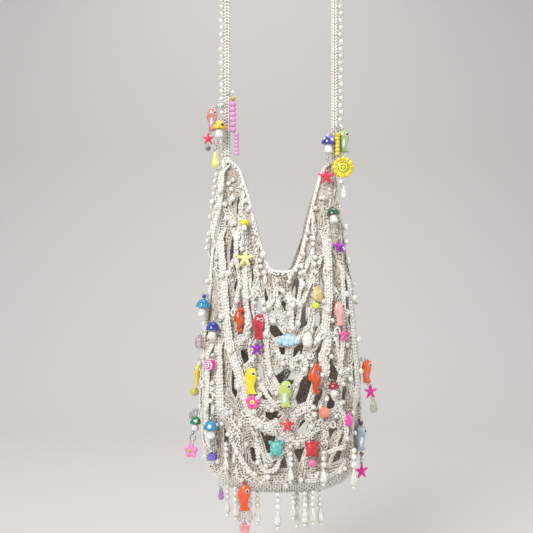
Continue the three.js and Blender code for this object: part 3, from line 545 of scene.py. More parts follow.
def spun_cotton():
    """Cotton yarn: short fibres, painted shade in the depths and pale crowns, ramped from the tone, and patches a
    little paler than the rest.
    """
    group, given, out = new_group(
        "spun_cotton", [("Place", "Vector"), ("Tone", "Float")], [("Colour", "Color"), ("Relief", "Float")])
    patches = add_node(group, "TexNoise", "patches", Vector=given.outputs["Place"], Scale=70.0, Detail=2.0)
    fibres = add_node(group, "TexNoise", "fibres", Vector=given.outputs["Place"], Scale=1900.0, Detail=3.0)
    worn = math_node(group, "MULTIPLY_ADD", patches.outputs["Fac"], 0.34, 0.83)
    lit = math_node(group, "MULTIPLY", given.outputs["Tone"], worn)
    # The ramp runs from painted shade, a dark brown for the depths, through a mid tone to the yarn's own ivory at the
    # crowns.
    colours = add_node(group, "ValToRGB", "from the depths to the crowns of the yarn", Fac=lit)
    ramp = colours.color_ramp
    ramp.elements[0].position, ramp.elements[0].color = 0.28, (0.25, 0.175, 0.125, 1)
    ramp.elements[1].position, ramp.elements[1].color = 0.96, (0.90, 0.885, 0.845, 1)
    middle = ramp.elements.new(0.56)
    middle.color = (0.70, 0.635, 0.55, 1)
    group.links.new(colours.outputs["Color"], out.inputs["Colour"])
    group.links.new(fibres.outputs["Fac"], out.inputs["Relief"])
    return group


COTTON = spun_cotton()


def finish_yarn(tree, shader, place, tone, relief=None):
    cotton = place_group(tree, COTTON, Place=place, Tone=tone)
    height = cotton.outputs["Relief"]
    if relief is not None:
        height = math_node(tree, "ADD", math_node(tree, "MULTIPLY", height, 0.3), relief)
    bump = add_node(tree, "Bump", Height=height, Strength=0.5, Distance=0.0004)
    tree.links.new(cotton.outputs["Colour"], shader.inputs["Base Color"])
    tree.links.new(bump.outputs["Normal"], shader.inputs["Normal"])
    shader.inputs["Roughness"].default_value = 0.8
    shader.inputs["Sheen Weight"].default_value = 0.25
    shader.inputs["Sheen Roughness"].default_value = 0.5


def stitch_yarn():
    material, tree, shader = new_material("ivory_stitch_yarn")
    place = add_node(tree, "TexCoord").outputs["Object"]
    # Each arm's tone: its own random tone, darkened with painted shade towards its ends and, on the strands, in the
    # sunk mesh.
    tone = add_node(tree, "Attribute", "tone of each arm")
    tone.attribute_name = "tone"
    along = add_node(tree, "UVMap")
    along.uv_map = "yarn"
    parts = add_node(tree, "SeparateXYZ", Vector=along.outputs["UV"])
    wound = math_node(tree, "ADD", math_node(tree, "MULTIPLY", parts.outputs["X"], 2.0),
                      math_node(tree, "MULTIPLY", parts.outputs["Y"], 2.2))
    plies = math_node(tree, "ABSOLUTE", math_node(tree, "SINE", math_node(tree, "MULTIPLY", wound, math.pi)))
    finish_yarn(tree, shader, place, tone.outputs["Fac"], math_node(tree, "MULTIPLY", plies, 0.8))
    return material


def stitched_ground():
    """The wall behind the stitches and inside the bag: the same columns of Vs, from its own chart, kept dark with
    painted shade and painted lighter on the crowns of its Vs.
    """
    material, tree, shader = new_material("ivory_stitched_ground")
    place = add_node(tree, "TexCoord").outputs["Object"]
    chart = add_node(tree, "UVMap")
    chart.uv_map = "stitches"
    parts = add_node(tree, "SeparateXYZ", Vector=chart.outputs["UV"])
    across = math_node(tree, "FRACT", parts.outputs["X"])
    aside = math_node(tree, "ABSOLUTE", math_node(tree, "SUBTRACT", across, 0.5))
    lean = math_node(tree, "SUBTRACT", parts.outputs["Y"], math_node(tree, "MULTIPLY", aside, 1.2))
    arms = math_node(tree, "SINE", math_node(tree, "MULTIPLY", lean, 2 * math.pi))
    arm = math_node(tree, "MULTIPLY_ADD", arms, 0.5, 0.5)
    off = math_node(tree, "ABSOLUTE", math_node(tree, "SUBTRACT", aside, 0.27))
    crown = math_node(tree, "SUBTRACT", 1.0, math_node(tree, "MULTIPLY", off, 2.6))
    relief = math_node(tree, "MULTIPLY", arm, crown)
    # Painted shade: the ground's tone stays low, so it reads as the shade behind and between the stitches, and the
    # crowns of its charted Vs are painted lighter than their dips.
    tone = math_node(tree, "MULTIPLY_ADD", relief, 0.5, 0.32)
    finish_yarn(tree, shader, place, tone, math_node(tree, "MULTIPLY", relief, 2.0))
    return material


STITCH_YARN = stitch_yarn()
STITCHED_GROUND = stitched_ground()
ARM = yarn_arm(5, 3, 0.5)

# The columns of V stitches on every strand: each V opens upwards from a foot that dips under the one below it,
# and hand work leaves every stitch a little off its place, its size and its tone.
UNDER_SURFACE = 0.45
V_FOOT_ASIDE = 0.07
V_FOOT_LOW = 0.66
columns = np.maximum(1, np.round(strand_wide / STITCH_WIDTH)).astype(int)
rows = np.maximum(1, np.round(strand_long / STITCH_RISE)).astype(int)
which, column, row = (np.concatenate(part) for part in zip(*(
    (np.full(c * r, i), np.tile(np.arange(c), r), np.repeat(np.arange(r), c))
    for i, (c, r) in enumerate(zip(columns, rows)))))
upwards = np.where(strands[which, 1, 1] >= strands[which, 0, 1], 1, -1)
count = len(which)
middle_across = (column + 0.5 + random.normal(0, 0.06, count)) / columns[which]
middle_along = (row + 0.5 + random.normal(0, 0.12, count)) / rows[which]
sunk_there = sunk(which, middle_across, middle_along)
stitch_tone_and_shade = random.uniform(0.86, 1.04, count) * (0.93 + 0.1 * random.random(len(strands)))[which]
# Painted shade: stitches in the sunk mesh between the firm bands are darkened, on top of their random tone.
stitch_tone_and_shade *= 1 - 0.34 * sunk_there
laid = []
for side in (-1, 1):
    spread = random.uniform(0.38, 0.46, count)
    start_across = middle_across + side * V_FOOT_ASIDE / columns[which]
    end_across = middle_across + side * spread / columns[which]
    start_along = middle_along - upwards * V_FOOT_LOW / rows[which]
    end_along = middle_along + upwards * random.uniform(0.46, 0.58, count) / rows[which]
    start, out = on_strand(which, np.clip(start_across, 0, 1), np.clip(start_along, -0.05, 1.05))
    end, out_end = on_strand(which, np.clip(end_across, 0, 1), np.clip(end_along, -0.05, 1.05))
    start = start - out * (UNDER_SURFACE + 0.4)
    end = end - out_end * (UNDER_SURFACE + random.uniform(-0.35, 0.35, (count, 1)))
    sizes = random.uniform(0.9, 1.1, count) * (1 - 0.12 * sunk_there)
    laid.append(arms_between(start, end, out + out_end, YARN_WIDE * sizes, YARN_DEEP * sizes)
                + (stitch_tone_and_shade,))
arms = joined(laid)

# The firm edge: a chain of yarn round each gap, and two chains side by side along the top edge, crocheted last
# so that the loose mesh keeps its shape.
EDGE_STITCH = 2.1
EDGE_YARN = 1.5
edge_arms = []
for across, chosen in ((0.0, np.arange(len(strands))), (1.0, np.flatnonzero(right_side != "foot"))):
    flat = np.full(len(chosen), across)
    line = on_strand(chosen, flat, flat * 0 + 1)[0] - on_strand(chosen, flat, flat * 0)[0]
    length = np.linalg.norm(line, axis=1)
    each = np.maximum(1, np.round(length / EDGE_STITCH)).astype(int)
    strand = np.repeat(chosen, each)
    steps = np.repeat(each, each)
    step = np.concatenate([np.arange(n) for n in each])
    depths = [(0.3, 1.5)]
    if across:
        rim = right_side[strand] == "rim"
        depths = [(0.3, 1.5), (1.8, 3.0)]
    for layer, (outer, inner) in enumerate(depths):
        keep = np.full(len(strand), True) if layer == 0 else rim
        flat = np.full(keep.sum(), across)
        start, out = on_strand(strand[keep], flat, (step[keep] - 0.15) / steps[keep])
        end, out_end = on_strand(strand[keep], flat, (step[keep] + 1.15) / steps[keep])
        lean = (outer, inner) if layer == 0 else (inner, outer)
        start = start - out * lean[0]
        end = end - out_end * lean[1]
        edge_arms.append(arms_between(start, end, out + out_end, EDGE_YARN, EDGE_YARN, 1.05)
                         + (random.uniform(0.86, 1.06, len(start)),))
edge = joined(edge_arms)

# The foot and the base: the bag is begun here, in close rounds of the same stitches from the middle of the base
# out to its rim and up to the foot of the net's strands.
FOOT_ROUNDS = 6
BASE_ROUNDS = 16
BASE_REACH = 0.985


def base_point(turn, level):
    """Level 0 is the foot of the net, 1 the edge of the base and 2 its middle."""
    foot = wall_point(turn, FOOT_SHARE * np.clip(1 - level, 0, 1))
    return foot * (1 - np.clip(level - 1, 0, BASE_REACH))[..., None]


def base_outward(turn, level):
    across = base_point(turn + 1.5, level) - base_point(turn - 1.5, level)
    up = base_point(turn, level - 0.03) - base_point(turn, level + 0.03)
    return unit(np.cross(across, up))


base_arms = []
turns = np.linspace(-180, 180, 361)
foot_levels = [(k + 0.5) / FOOT_ROUNDS for k in range(FOOT_ROUNDS)]
base_levels = [1 + (k + 0.5) / BASE_ROUNDS * 0.95 for k in range(BASE_ROUNDS)]
for level in foot_levels + base_levels:
    ring = base_point(turns, np.full(361, level))
    girth = np.concatenate(([0], np.cumsum(np.linalg.norm(np.diff(ring, axis=0), axis=1))))
    number = max(5, round(girth[-1] / STITCH_WIDTH))
    rise = 1 / (FOOT_ROUNDS if level < 1 else BASE_ROUNDS)
    for side in (-1, 1):
        at = np.arange(number) + 0.5 + random.normal(0, 0.04, number)
        start_turn = np.interp((at + side * V_FOOT_ASIDE) / number * girth[-1], girth, turns)
        end_turn = np.interp((at + side * 0.42) / number * girth[-1], girth, turns)
        start_level = np.full(number, level + V_FOOT_LOW * rise)
        end_level = np.full(number, level - 0.52 * rise)
        out, out_end = base_outward(start_turn, start_level), base_outward(end_turn, end_level)
        start = base_point(start_turn, start_level) - out * (UNDER_SURFACE + 0.4)
        end = base_point(end_turn, end_level) - out_end * UNDER_SURFACE
        base_arms.append(arms_between(start, end, out + out_end) + (random.uniform(0.84, 1.04, number),))
base = joined(base_arms)

# The ground behind the stitches: the back of the same crochet, which shows inside the bag and between the Vs.
# It is one wall over all strands, the foot and the base, cut through at the gaps.
# Its material keeps it darker than the stitches, as painted shade where it shows between, behind and inside them.
CORE_DEPTH = 1.15
CORE_THICK = 2.0
GRID_STEP = 4.5
ground = bmesh.new()
stitch_chart = ground.loops.layers.uv.new("stitches")


def add_patch(points, charted):
    """A grid of faces over rows of points, with the stitch chart's place at each."""
    hung = Vector((0, 0, BAG_DROP * MM))
    verts = [[ground.verts.new(Vector(point) * MM - hung) for point in line] for line in points]
    for i in range(len(verts) - 1):
        for j in range(len(verts[0]) - 1):
            around = ((i, j), (i, j + 1), (i + 1, j + 1), (i + 1, j))
            face = ground.faces.new([verts[a][b] for a, b in around])
            face.smooth = True
            for loop, (a, b) in zip(face.loops, around):
                loop[stitch_chart].uv = charted[a][b]


for i in range(len(strands)):
    lines = np.linspace(0, 1, max(2, round(strand_long[i] / GRID_STEP)) + 1)
    aside = np.linspace(-1, 1, 5) if right_side[i] == "gap" else np.linspace(-1, 0, 3)
    points, charted = [], []
    for along in lines:
        middle, left, right = (chart_line(np.array([i]), pair, np.array([along]))[0] for pair in range(3))
        ends = [wall_point(line[0], line[1] / CHART_DEGREES) for line in (middle, left, right)]
        wide_left, wide_right = np.linalg.norm(ends[1] - ends[0]), np.linalg.norm(ends[2] - ends[0])
        past = np.where(aside < 0, aside * wide_left, aside * wide_right)
        flat = (past + wide_left) / (wide_left + wide_right)
        place, outward = on_strand(np.full(len(aside), i), flat, np.full(len(aside), along))
        points.append(place - outward * (CORE_DEPTH + 0.3 * np.abs(aside) ** 3)[:, None])
        across = (aside - aside[0]) / (aside[-1] - aside[0]) * columns[i]
        charted.append([(u, along * rows[i] * upwards[np.searchsorted(which, i)]) for u in across])
    add_patch(points, charted)
    if right_side[i] == "foot":
        turns = chart_line(np.full(len(lines), i), 0, lines)[:, 0]
        levels = np.concatenate((np.linspace(0, 1, 4), np.linspace(1, 2, 9)[1:]))
        points = [wall_point(turns, FOOT_SHARE) - wall_outward(turns, FOOT_SHARE) * CORE_DEPTH]
        for level in levels[1:]:
            flat = np.full(len(turns), level)
            points.append(base_point(turns, flat) - base_outward(turns, flat) * CORE_DEPTH)
        charted = [[(turn / 4.2, -level * FOOT_ROUNDS) for turn in turns] for level in levels]
        add_patch(list(zip(*points)), list(zip(*charted)))
bmesh.ops.remove_doubles(ground, verts=ground.verts, dist=0.04 * MM)
bmesh.ops.recalc_face_normals(ground, faces=ground.faces)
ground_mesh = bpy.data.meshes.new("net_ground")
ground.to_mesh(ground_mesh)
ground.free()
net_ground = new_piece("net_ground", ground_mesh, STITCHED_GROUND)
thickness = net_ground.modifiers.new("wall", "SOLIDIFY")
thickness.thickness = CORE_THICK * MM
thickness.offset = -1
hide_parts("net_body")
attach(net_ground, "root")

front = arms[0][:, 1] < 0
left = arms[0][:, 0] < 0
stitched = {name: [part[chosen] for part in arms] for name, chosen in (
    ("stitches_front_left", front & left), ("stitches_front_right", front & ~left),
    ("stitches_back_left", ~front & left), ("stitches_back_right", ~front & ~left))}
stitched.update(gap_edges=edge, base_stitches=base)
for name, part in stitched.items():
    piece = lay_copies(name, ARM, *part, STITCH_YARN)
    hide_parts("net_body")
    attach(piece, "root")

# Firm cords: chains of one or two columns of stitches of the same yarn, worked over the net so that they carry
# the weight of the charms. They stand a little proud of it, and their ends are worked in.
CORD_LIFT = 1.3
LOOSE_LIFT = 4.2
CORD_CORE_DEEP = 2.2
CORD_END_SUNK = 2.6
# Each cord: its columns of stitches, and the turn and height share of the places that it runs through. The
# first two hang loose beside the left peak, and only their ends are worked into the net.
LOOSE_CORDS = 2
FIRM_CORDS = [
    (2, [(-78, 0.985), (-72, 0.94), (-68, 0.89), (-68, 0.84), (-70, 0.79), (-74, 0.72)]),
    (2, [(-92, 0.985), (-88, 0.94), (-86, 0.89), (-86, 0.84), (-86, 0.79), (-87, 0.73), (-88, 0.67)]),
    (2, [(-62, 0.79), (-51, 0.69), (-44, 0.6), (-38, 0.51), (-32, 0.45), (-25, 0.41), (-21, 0.37),
         (-16, 0.32), (-11, 0.3), (-5, 0.32), (-1, 0.34)]),
    (2, [(-48, 0.47), (-43, 0.34), (-41, 0.23)]),
    (2, [(35, 0.83), (34, 0.73), (32, 0.62), (27, 0.55), (28, 0.5), (23, 0.47), (26, 0.43), (22, 0.39)]),
    (2, [(64, 0.66), (64, 0.57), (62, 0.46), (63, 0.36), (60, 0.24)]),
    (2, [(-64, 0.44), (-60, 0.32), (-61, 0.21), (-60, 0.12)]),
    (2, [(-80, 0.75), (-74, 0.6), (-78, 0.46), (-84, 0.32), (-84, 0.19)]),
    (1, [(-9, 0.8), (-7, 0.72), (-7, 0.64), (-5, 0.56), (-1, 0.49), (-1, 0.41)]),
    (1, [(-11, 0.48), (-4, 0.43), (-1, 0.39)]),
    (1, [(2, 0.61), (8, 0.6), (12, 0.53), (7, 0.51), (3, 0.48)]),
    (1, [(-2, 0.67), (-1, 0.63), (1, 0.62), (3, 0.65)]),
    (1, [(-38, 0.83), (-34, 0.77), (-32, 0.71)]),
    (1, [(-26, 0.79), (-22, 0.68), (-19, 0.55)]),
    (1, [(-2, 0.9), (0, 0.79)]),
    (1, [(52, 0.7), (50, 0.58), (43, 0.45), (40, 0.38)]),
    (1, [(-35, 0.21), (-26, 0.15), (-18, 0.1), (-10, 0.06)]),
    (1, [(10, 0.06), (34, 0.07), (52, 0.1)]),
    (1, [(23, 0.14), (33, 0.15), (52, 0.14)]),
    (1, [(-13, 0.22), (-10, 0.13), (-3, 0.13), (0, 0.19)]),
    (1, [(33, 0.32), (44, 0.21), (43, 0.14)]),
    (1, [(3, 0.91), (4, 0.78), (2, 0.7)]),
    (2, [(118, 0.8), (124, 0.62), (136, 0.45), (150, 0.32), (158, 0.16)]),
    (2, [(-104, 0.75), (-112, 0.55), (-108, 0.36), (-118, 0.18)]),
    (2, [(214, 0.8), (208, 0.62), (214, 0.46), (204, 0.3), (208, 0.14)]),
    (1, [(170, 0.78), (178, 0.62), (188, 0.5), (182, 0.34), (168, 0.22)]),
    (1, [(98, 0.7), (96, 0.5), (104, 0.32), (100, 0.14)]),
    (1, [(148, 0.75), (160, 0.58), (156, 0.42), (172, 0.3), (190, 0.16)]),
]
cord_arms = []
for index, (wide, route) in enumerate(FIRM_CORDS):
    highest = LOOSE_LIFT if index < LOOSE_CORDS else CORD_LIFT
    stops = np.column_stack((np.arange(len(route)), route)).astype(float)
    steps = np.linspace(0, len(route) - 1, 14 * len(route))
    fine_turn, fine_share = follow(stops, 1, steps), follow(stops, 2, steps)
    path = wall_point(fine_turn, fine_share)
    length = np.concatenate(([0], np.cumsum(np.linalg.norm(np.diff(path, axis=0), axis=1))))
    number = max(3, round(length[-1] / STITCH_RISE))

    def along_cord(at, aside):
        """Points of this cord, counted in stitches along it and in millimetres to its side."""
        reached = at / number * length[-1]
        turn = np.interp(reached, length, fine_turn)
        share = np.interp(reached, length, fine_share)
        place, outward = wall_point(turn, share), wall_outward(turn, share)
        between = (length[1:] + length[:-1]) / 2
        run = np.stack([np.interp(reached, between, np.diff(path[:, k])) for k in range(3)], -1)
        side = unit(np.cross(unit(run), outward))
        risen = smooth(0, 4, np.minimum(at, number - at))
        lift = highest * risen - CORD_END_SUNK * (1 - risen) - 0.06 * aside ** 2
        return place + outward * lift[:, None] + side * np.reshape(aside, (-1, 1)), outward

    middles = np.arange(number) + 0.5
    tone = random.uniform(0.92, 1.08, number)
    for column_middle in (np.arange(wide) - (wide - 1) / 2) * STITCH_WIDTH * 0.93:
        for side in (-1, 1):
            start, out = along_cord(middles + 0.66 + random.normal(0, 0.1, number),
                                    column_middle + side * random.uniform(0.1, 0.5, number))
            end, out_end = along_cord(middles - 0.52 + random.normal(0, 0.12, number),
                                      column_middle + side * random.uniform(1.3, 2.1, number))
            start = start - out * random.uniform(0.2, 0.7, (number, 1))
            end = end + out_end * random.uniform(-0.3, 0.35, (number, 1))
            sizes = random.uniform(0.85, 1.15, number)
            cord_arms.append(arms_between(start, end, out + out_end, 1.6 * sizes, 1.35 * sizes) + (tone,))
    # A flat core under each cord's stitches, its tone lowered to 0.66 as painted shade between the arms.
    start, out = along_cord(middles - 0.7, np.zeros(number))
    end, _ = along_cord(middles + 0.7, np.zeros(number))
    cord_arms.append(arms_between(start - out * 1.3, end - out * 1.3, out, wide * 3.4, CORD_CORE_DEEP, 1.3)
                     + (np.full(number, 0.66),))
cord = joined(cord_arms)
firm_cords = lay_copies("firm_cords", ARM, *cord, STITCH_YARN)
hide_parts("net_body")
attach(firm_cords, "root")

# Picots: small loops of the same yarn that stand up from the net where a chain was turned back on itself. They
# sit on the yarn that stands out furthest, as the pearls and the charms' hooks below do.
YARN_NEAR = 2.2
YARN_REACH = 9
yarn_middles = np.concatenate((arms[0], edge[0], cord[0]))


def outermost_yarn(targets, outwards):
    """The yarn that stands out furthest near each place, or the yarn nearest to it where there is none."""
    off = yarn_middles - targets[:, None]
    rise = np.einsum("pak,pk->pa", off, outwards)
    aside = np.linalg.norm(off - rise[..., None] * outwards[:, None], axis=-1)
    near = (aside < YARN_NEAR) & (np.abs(rise) < YARN_REACH)
    best = np.where(near, rise - 0.4 * aside, -100 - np.linalg.norm(off, axis=-1)).argmax(1)
    return yarn_middles[best]


PICOT_WIDTH = 5.2
PICOT_ARMS = 9
PICOT_RISE = 1.6
# Turn and height share of each loop
PICOTS = np.array([
    (-84, 0.93), (-40, 0.61), (-35, 0.57), (-20, 0.6), (-12, 0.66), (-4, 0.8), (5, 0.86), (6, 0.66),
    (14, 0.55), (16, 0.7), (24, 0.55), (27, 0.48), (38, 0.5), (40, 0.8), (50, 0.54), (66, 0.76), (-60, 0.5),
    (-8, 0.35), (12, 0.33), (22, 0.27), (30, 0.24), (48, 0.23), (-22, 0.3), (-45, 0.3), (-70, 0.24),
    (70, 0.3), (-30, 0.9), (30, 0.72), (110, 0.6), (130, 0.4), (150, 0.7), (170, 0.55), (190, 0.3),
    (210, 0.6), (235, 0.45), (255, 0.7), (120, 0.25),
])
picot_out = wall_outward(PICOTS[:, 0], PICOTS[:, 1])
picot_place = outermost_yarn(wall_point(PICOTS[:, 0], PICOTS[:, 1]), picot_out)
loop_across = unit(np.cross((0, 0, 1), picot_out) + picot_out * random.uniform(-0.9, 0.9, (len(PICOTS), 1)))
loop_up = unit(np.cross(picot_out, loop_across) + random.normal(0, 0.35, (len(PICOTS), 3)))
picot_arms = []


def on_loop(k):
    """Where each loop runs, k arms on from its start. A loop is a little narrower than it is tall."""
    angle = 2 * math.pi * k / PICOT_ARMS
    off = loop_across * math.cos(angle) * 0.8 + loop_up * math.sin(angle)
    return picot_place + picot_out * PICOT_RISE + off * PICOT_WIDTH / 2


for k in range(PICOT_ARMS):
    tone = random.uniform(0.9, 1.08, len(PICOTS))
    picot_arms.append(arms_between(on_loop(k - 0.1), on_loop(k + 1.1), picot_out, 1.7, 1.5, 1.1) + (tone,))
picots = lay_copies("picots", ARM, *joined(picot_arms), STITCH_YARN)
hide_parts("net_body")
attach(picots, "root")

# The strap: one crocheted band of the same yarn from peak to peak, a column of Vs on each of its four faces. It
# is sewn over both peaks, and turned over in a half circle where it hangs.
STRAP_REACH = 44.6
STRAP_THICK = 4.5
STRAP_DEEP = 6.0
STRAP_FOOT = 262.0
STRAP_TURN_HEIGHT = 460.65
STRAP_RUN = STRAP_TURN_HEIGHT - STRAP_FOOT


def along_strap(length, out, deep):
    """Points of the strap, by the length from its right foot along its middle, how far out and how deep."""
    arc = math.pi * STRAP_REACH
    angle = np.clip(length - STRAP_RUN, 0, arc) / STRAP_REACH
    height = np.where(length < STRAP_RUN, STRAP_FOOT + length,
                      np.where(length > STRAP_RUN + arc, STRAP_TURN_HEIGHT - (length - STRAP_RUN - arc),
                               STRAP_TURN_HEIGHT))
    outward = np.stack((np.cos(angle), angle * 0, np.sin(angle)), -1)
    middle = np.stack((angle * 0, deep + angle * 0, height), -1)
    return middle + outward * np.reshape(STRAP_REACH + out, (-1, 1)), outward


strap_length = 2 * STRAP_RUN + math.pi * STRAP_REACH
STRAP_STITCH = 2.5
number = round(strap_length / STRAP_STITCH)
front_back = np.array((0.0, 1.0, 0.0))
strap_arms = []
for face, (out, deep) in {"front": (0, -1), "back": (0, 1), "outer": (1, 0), "inner": (-1, 0)}.items():
    at = (np.arange(number) + 0.5 + random.normal(0, 0.05, number)) * STRAP_STITCH
    tone = random.uniform(0.88, 1.08, number)
    half = (STRAP_THICK if deep else STRAP_DEEP) * 0.45
    for side in (-1, 1):
        ends = []
        for shift, spread, lift in ((-0.66, 0.1, 0.65), (0.52, 1.0, 0.25)):
            aside = side * half * spread
            over = np.full(number, (STRAP_THICK / 2 - lift) * out if out else aside)
            back = np.full(number, (STRAP_DEEP / 2 - lift) * deep if deep else aside)
            ends.append(along_strap(np.clip(at + shift * STRAP_STITCH, 0, strap_length), over, back))
        outward = ends[0][1] * out + front_back * deep
        strap_arms.append(arms_between(ends[0][0], ends[1][0], outward) + (tone,))
strap_stitches = lay_copies("strap_stitches", ARM, *joined(strap_arms), STITCH_YARN)

# The strap's inside is the same band, a little slimmer: its section is drawn up, over the half circle and down.
CORE_WIDE = 3.3
CORE_DEEP = 4.8
band = bmesh.new()
band_chart = band.loops.layers.uv.new("stitches")
foot = Vector((STRAP_REACH, 0, STRAP_FOOT - BAG_DROP)) * MM
bmesh.ops.create_grid(band, x_segments=1, y_segments=1, size=0.5,
                      matrix=Matrix.Translation(foot) @ Matrix.Diagonal((CORE_WIDE * MM, CORE_DEEP * MM, 1, 1)))
drawn = bmesh.ops.extrude_face_region(band, geom=band.faces[:])["geom"]
bmesh.ops.translate(band, verts=of_kind(bmesh.types.BMVert, drawn), vec=(0, 0, STRAP_RUN * MM))
cap = of_kind(bmesh.types.BMFace, drawn)
turned = bmesh.ops.spin(band, geom=cap, cent=(0, 0, (STRAP_TURN_HEIGHT - BAG_DROP) * MM), axis=(0, -1, 0),
                        angle=math.pi, steps=32, use_merge=False)["geom_last"]
drawn = bmesh.ops.extrude_face_region(band, geom=of_kind(bmesh.types.BMFace, turned))["geom"]
bmesh.ops.translate(band, verts=of_kind(bmesh.types.BMVert, drawn), vec=(0, 0, -STRAP_RUN * MM))
bmesh.ops.remove_doubles(band, verts=band.verts, dist=0.02 * MM)
between = [face for face in band.faces if all(len(edge.link_faces) > 2 for edge in face.edges)]
bmesh.ops.delete(band, geom=between, context="FACES_ONLY")
bmesh.ops.recalc_face_normals(band, faces=band.faces)
for face in band.faces:
    for loop in face.loops:
        loop[band_chart].uv = (loop.vert.co.y / (CORE_DEEP * MM), loop.vert.co.z / (STRAP_STITCH * MM))
band_mesh = bpy.data.meshes.new("strap_band")
band.to_mesh(band_mesh)
band.free()
# Like the net's ground, the band takes the darkened ground material, as painted shade between the strap's stitches.
strap_band = new_piece("strap_band", band_mesh, STITCHED_GROUND)
for piece in (strap_stitches, strap_band):
    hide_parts("strap")
    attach(piece, "root")

# The pearls: imitation pearls on a cotton thread, sewn side by side along the strap's outer edge and one by one
# on the net's strands, with a loop of yarn from the band between every two on the strap.
PEARL_PITCH = 5.85
PEARL_ROW_OUT = 4.95
PEARL_WIDTH = 4.8


def pearl_lustre():
    material, tree, shader = new_material("pearl")
    place = add_node(tree, "TexCoord").outputs["Object"]
    mottle = add_node(tree, "TexNoise", "nacre", Vector=place, Scale=260.0, Detail=1.0)
    colours = add_node(tree, "ValToRGB", "cream to cool white", Fac=mottle.outputs["Fac"])
    colours.color_ramp.elements[0].position = 0.38
    colours.color_ramp.elements[0].color = (0.79, 0.74, 0.65, 1)
    colours.color_ramp.elements[1].position = 0.62
    colours.color_ramp.elements[1].color = (0.93, 0.93, 0.91, 1)
    tree.links.new(colours.outputs["Color"], shader.inputs["Base Color"])
    shader.inputs["Metallic"].default_value = 0.35
    shader.inputs["Roughness"].default_value = 0.24
    shader.inputs["Coat Weight"].default_value = 1.0
    shader.inputs["Coat Roughness"].default_value = 0.05
    return material


def round_bead(around, rings):
    bead = bmesh.new()
    bead.loops.layers.uv.new("yarn")
    bmesh.ops.create_uvsphere(bead, u_segments=around, v_segments=rings, radius=0.5, calc_uvs=True)
    mesh = bpy.data.meshes.new("bead")
    bead.to_mesh(mesh)
    bead.free()
    return mesh


def lay_beads(name, template, places, widths, material, tall=1.0):
    """Beads at places, each with its width; their Z can be longer."""
    axes = [np.zeros((len(places), 3)) for _ in range(3)]
    for k in range(3):
        axes[k][:, k] = widths * (tall if k == 2 else 1)
    return lay_copies(name, template, places, *axes, np.ones(len(places)), material)


PEARL = pearl_lustre()
PEARL_BALL = round_bead(14, 9)
pearl_arc = math.pi * (STRAP_REACH + PEARL_ROW_OUT)
pearl_total = 2 * STRAP_RUN + pearl_arc
number = int(pearl_total / PEARL_PITCH)
at_row = (np.arange(number) + 0.5) * pearl_total / number
at_band = np.where(at_row < STRAP_RUN, at_row, np.where(
    at_row > STRAP_RUN + pearl_arc, at_row - pearl_arc + math.pi * STRAP_REACH,
    STRAP_RUN + (at_row - STRAP_RUN) * STRAP_REACH / (STRAP_REACH + PEARL_ROW_OUT)))
zigzag = np.where(np.arange(number) % 2, 0.22, -0.22) + random.normal(0, 0.12, number)
swing = random.normal(0, 0.25, number)
pearl_places, outward = along_strap(at_band, np.full(number, PEARL_ROW_OUT) + zigzag, swing)
pearl_widths = PEARL_WIDTH * random.uniform(0.95, 1.04, number)
strap_pearls = lay_beads("strap_pearl_row", PEARL_BALL, pearl_places, pearl_widths, PEARL)
between = (at_band[1:] + at_band[:-1]) / 2
loop_arms = []
plain_tone = np.ones(number - 1)
for deep in (-0.8, 0.8):
    inner, outward = along_strap(between, plain_tone * 1.4, plain_tone * deep * 2)
    outer, _ = along_strap(between, plain_tone * (PEARL_ROW_OUT + 0.7), plain_tone * deep * 0.3)
    loop_arms.append(arms_between(inner, outer, outward * 0 + front_back * deep, 0.9, 0.9) + (plain_tone,))
thread, _ = along_strap(at_band, np.full(number, PEARL_ROW_OUT), np.zeros(number))
thread_arms = arms_between(thread[:-1], thread[1:], outward * 0 + front_back, 0.6, 0.6, 1.4)
loop_arms.append(thread_arms + (plain_tone,))
pearl_thread = lay_copies("strap_pearl_thread", ARM, *joined(loop_arms), STITCH_YARN)
for piece in (strap_pearls, pearl_thread):
    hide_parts("strap_pearls")
    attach(piece, "root")

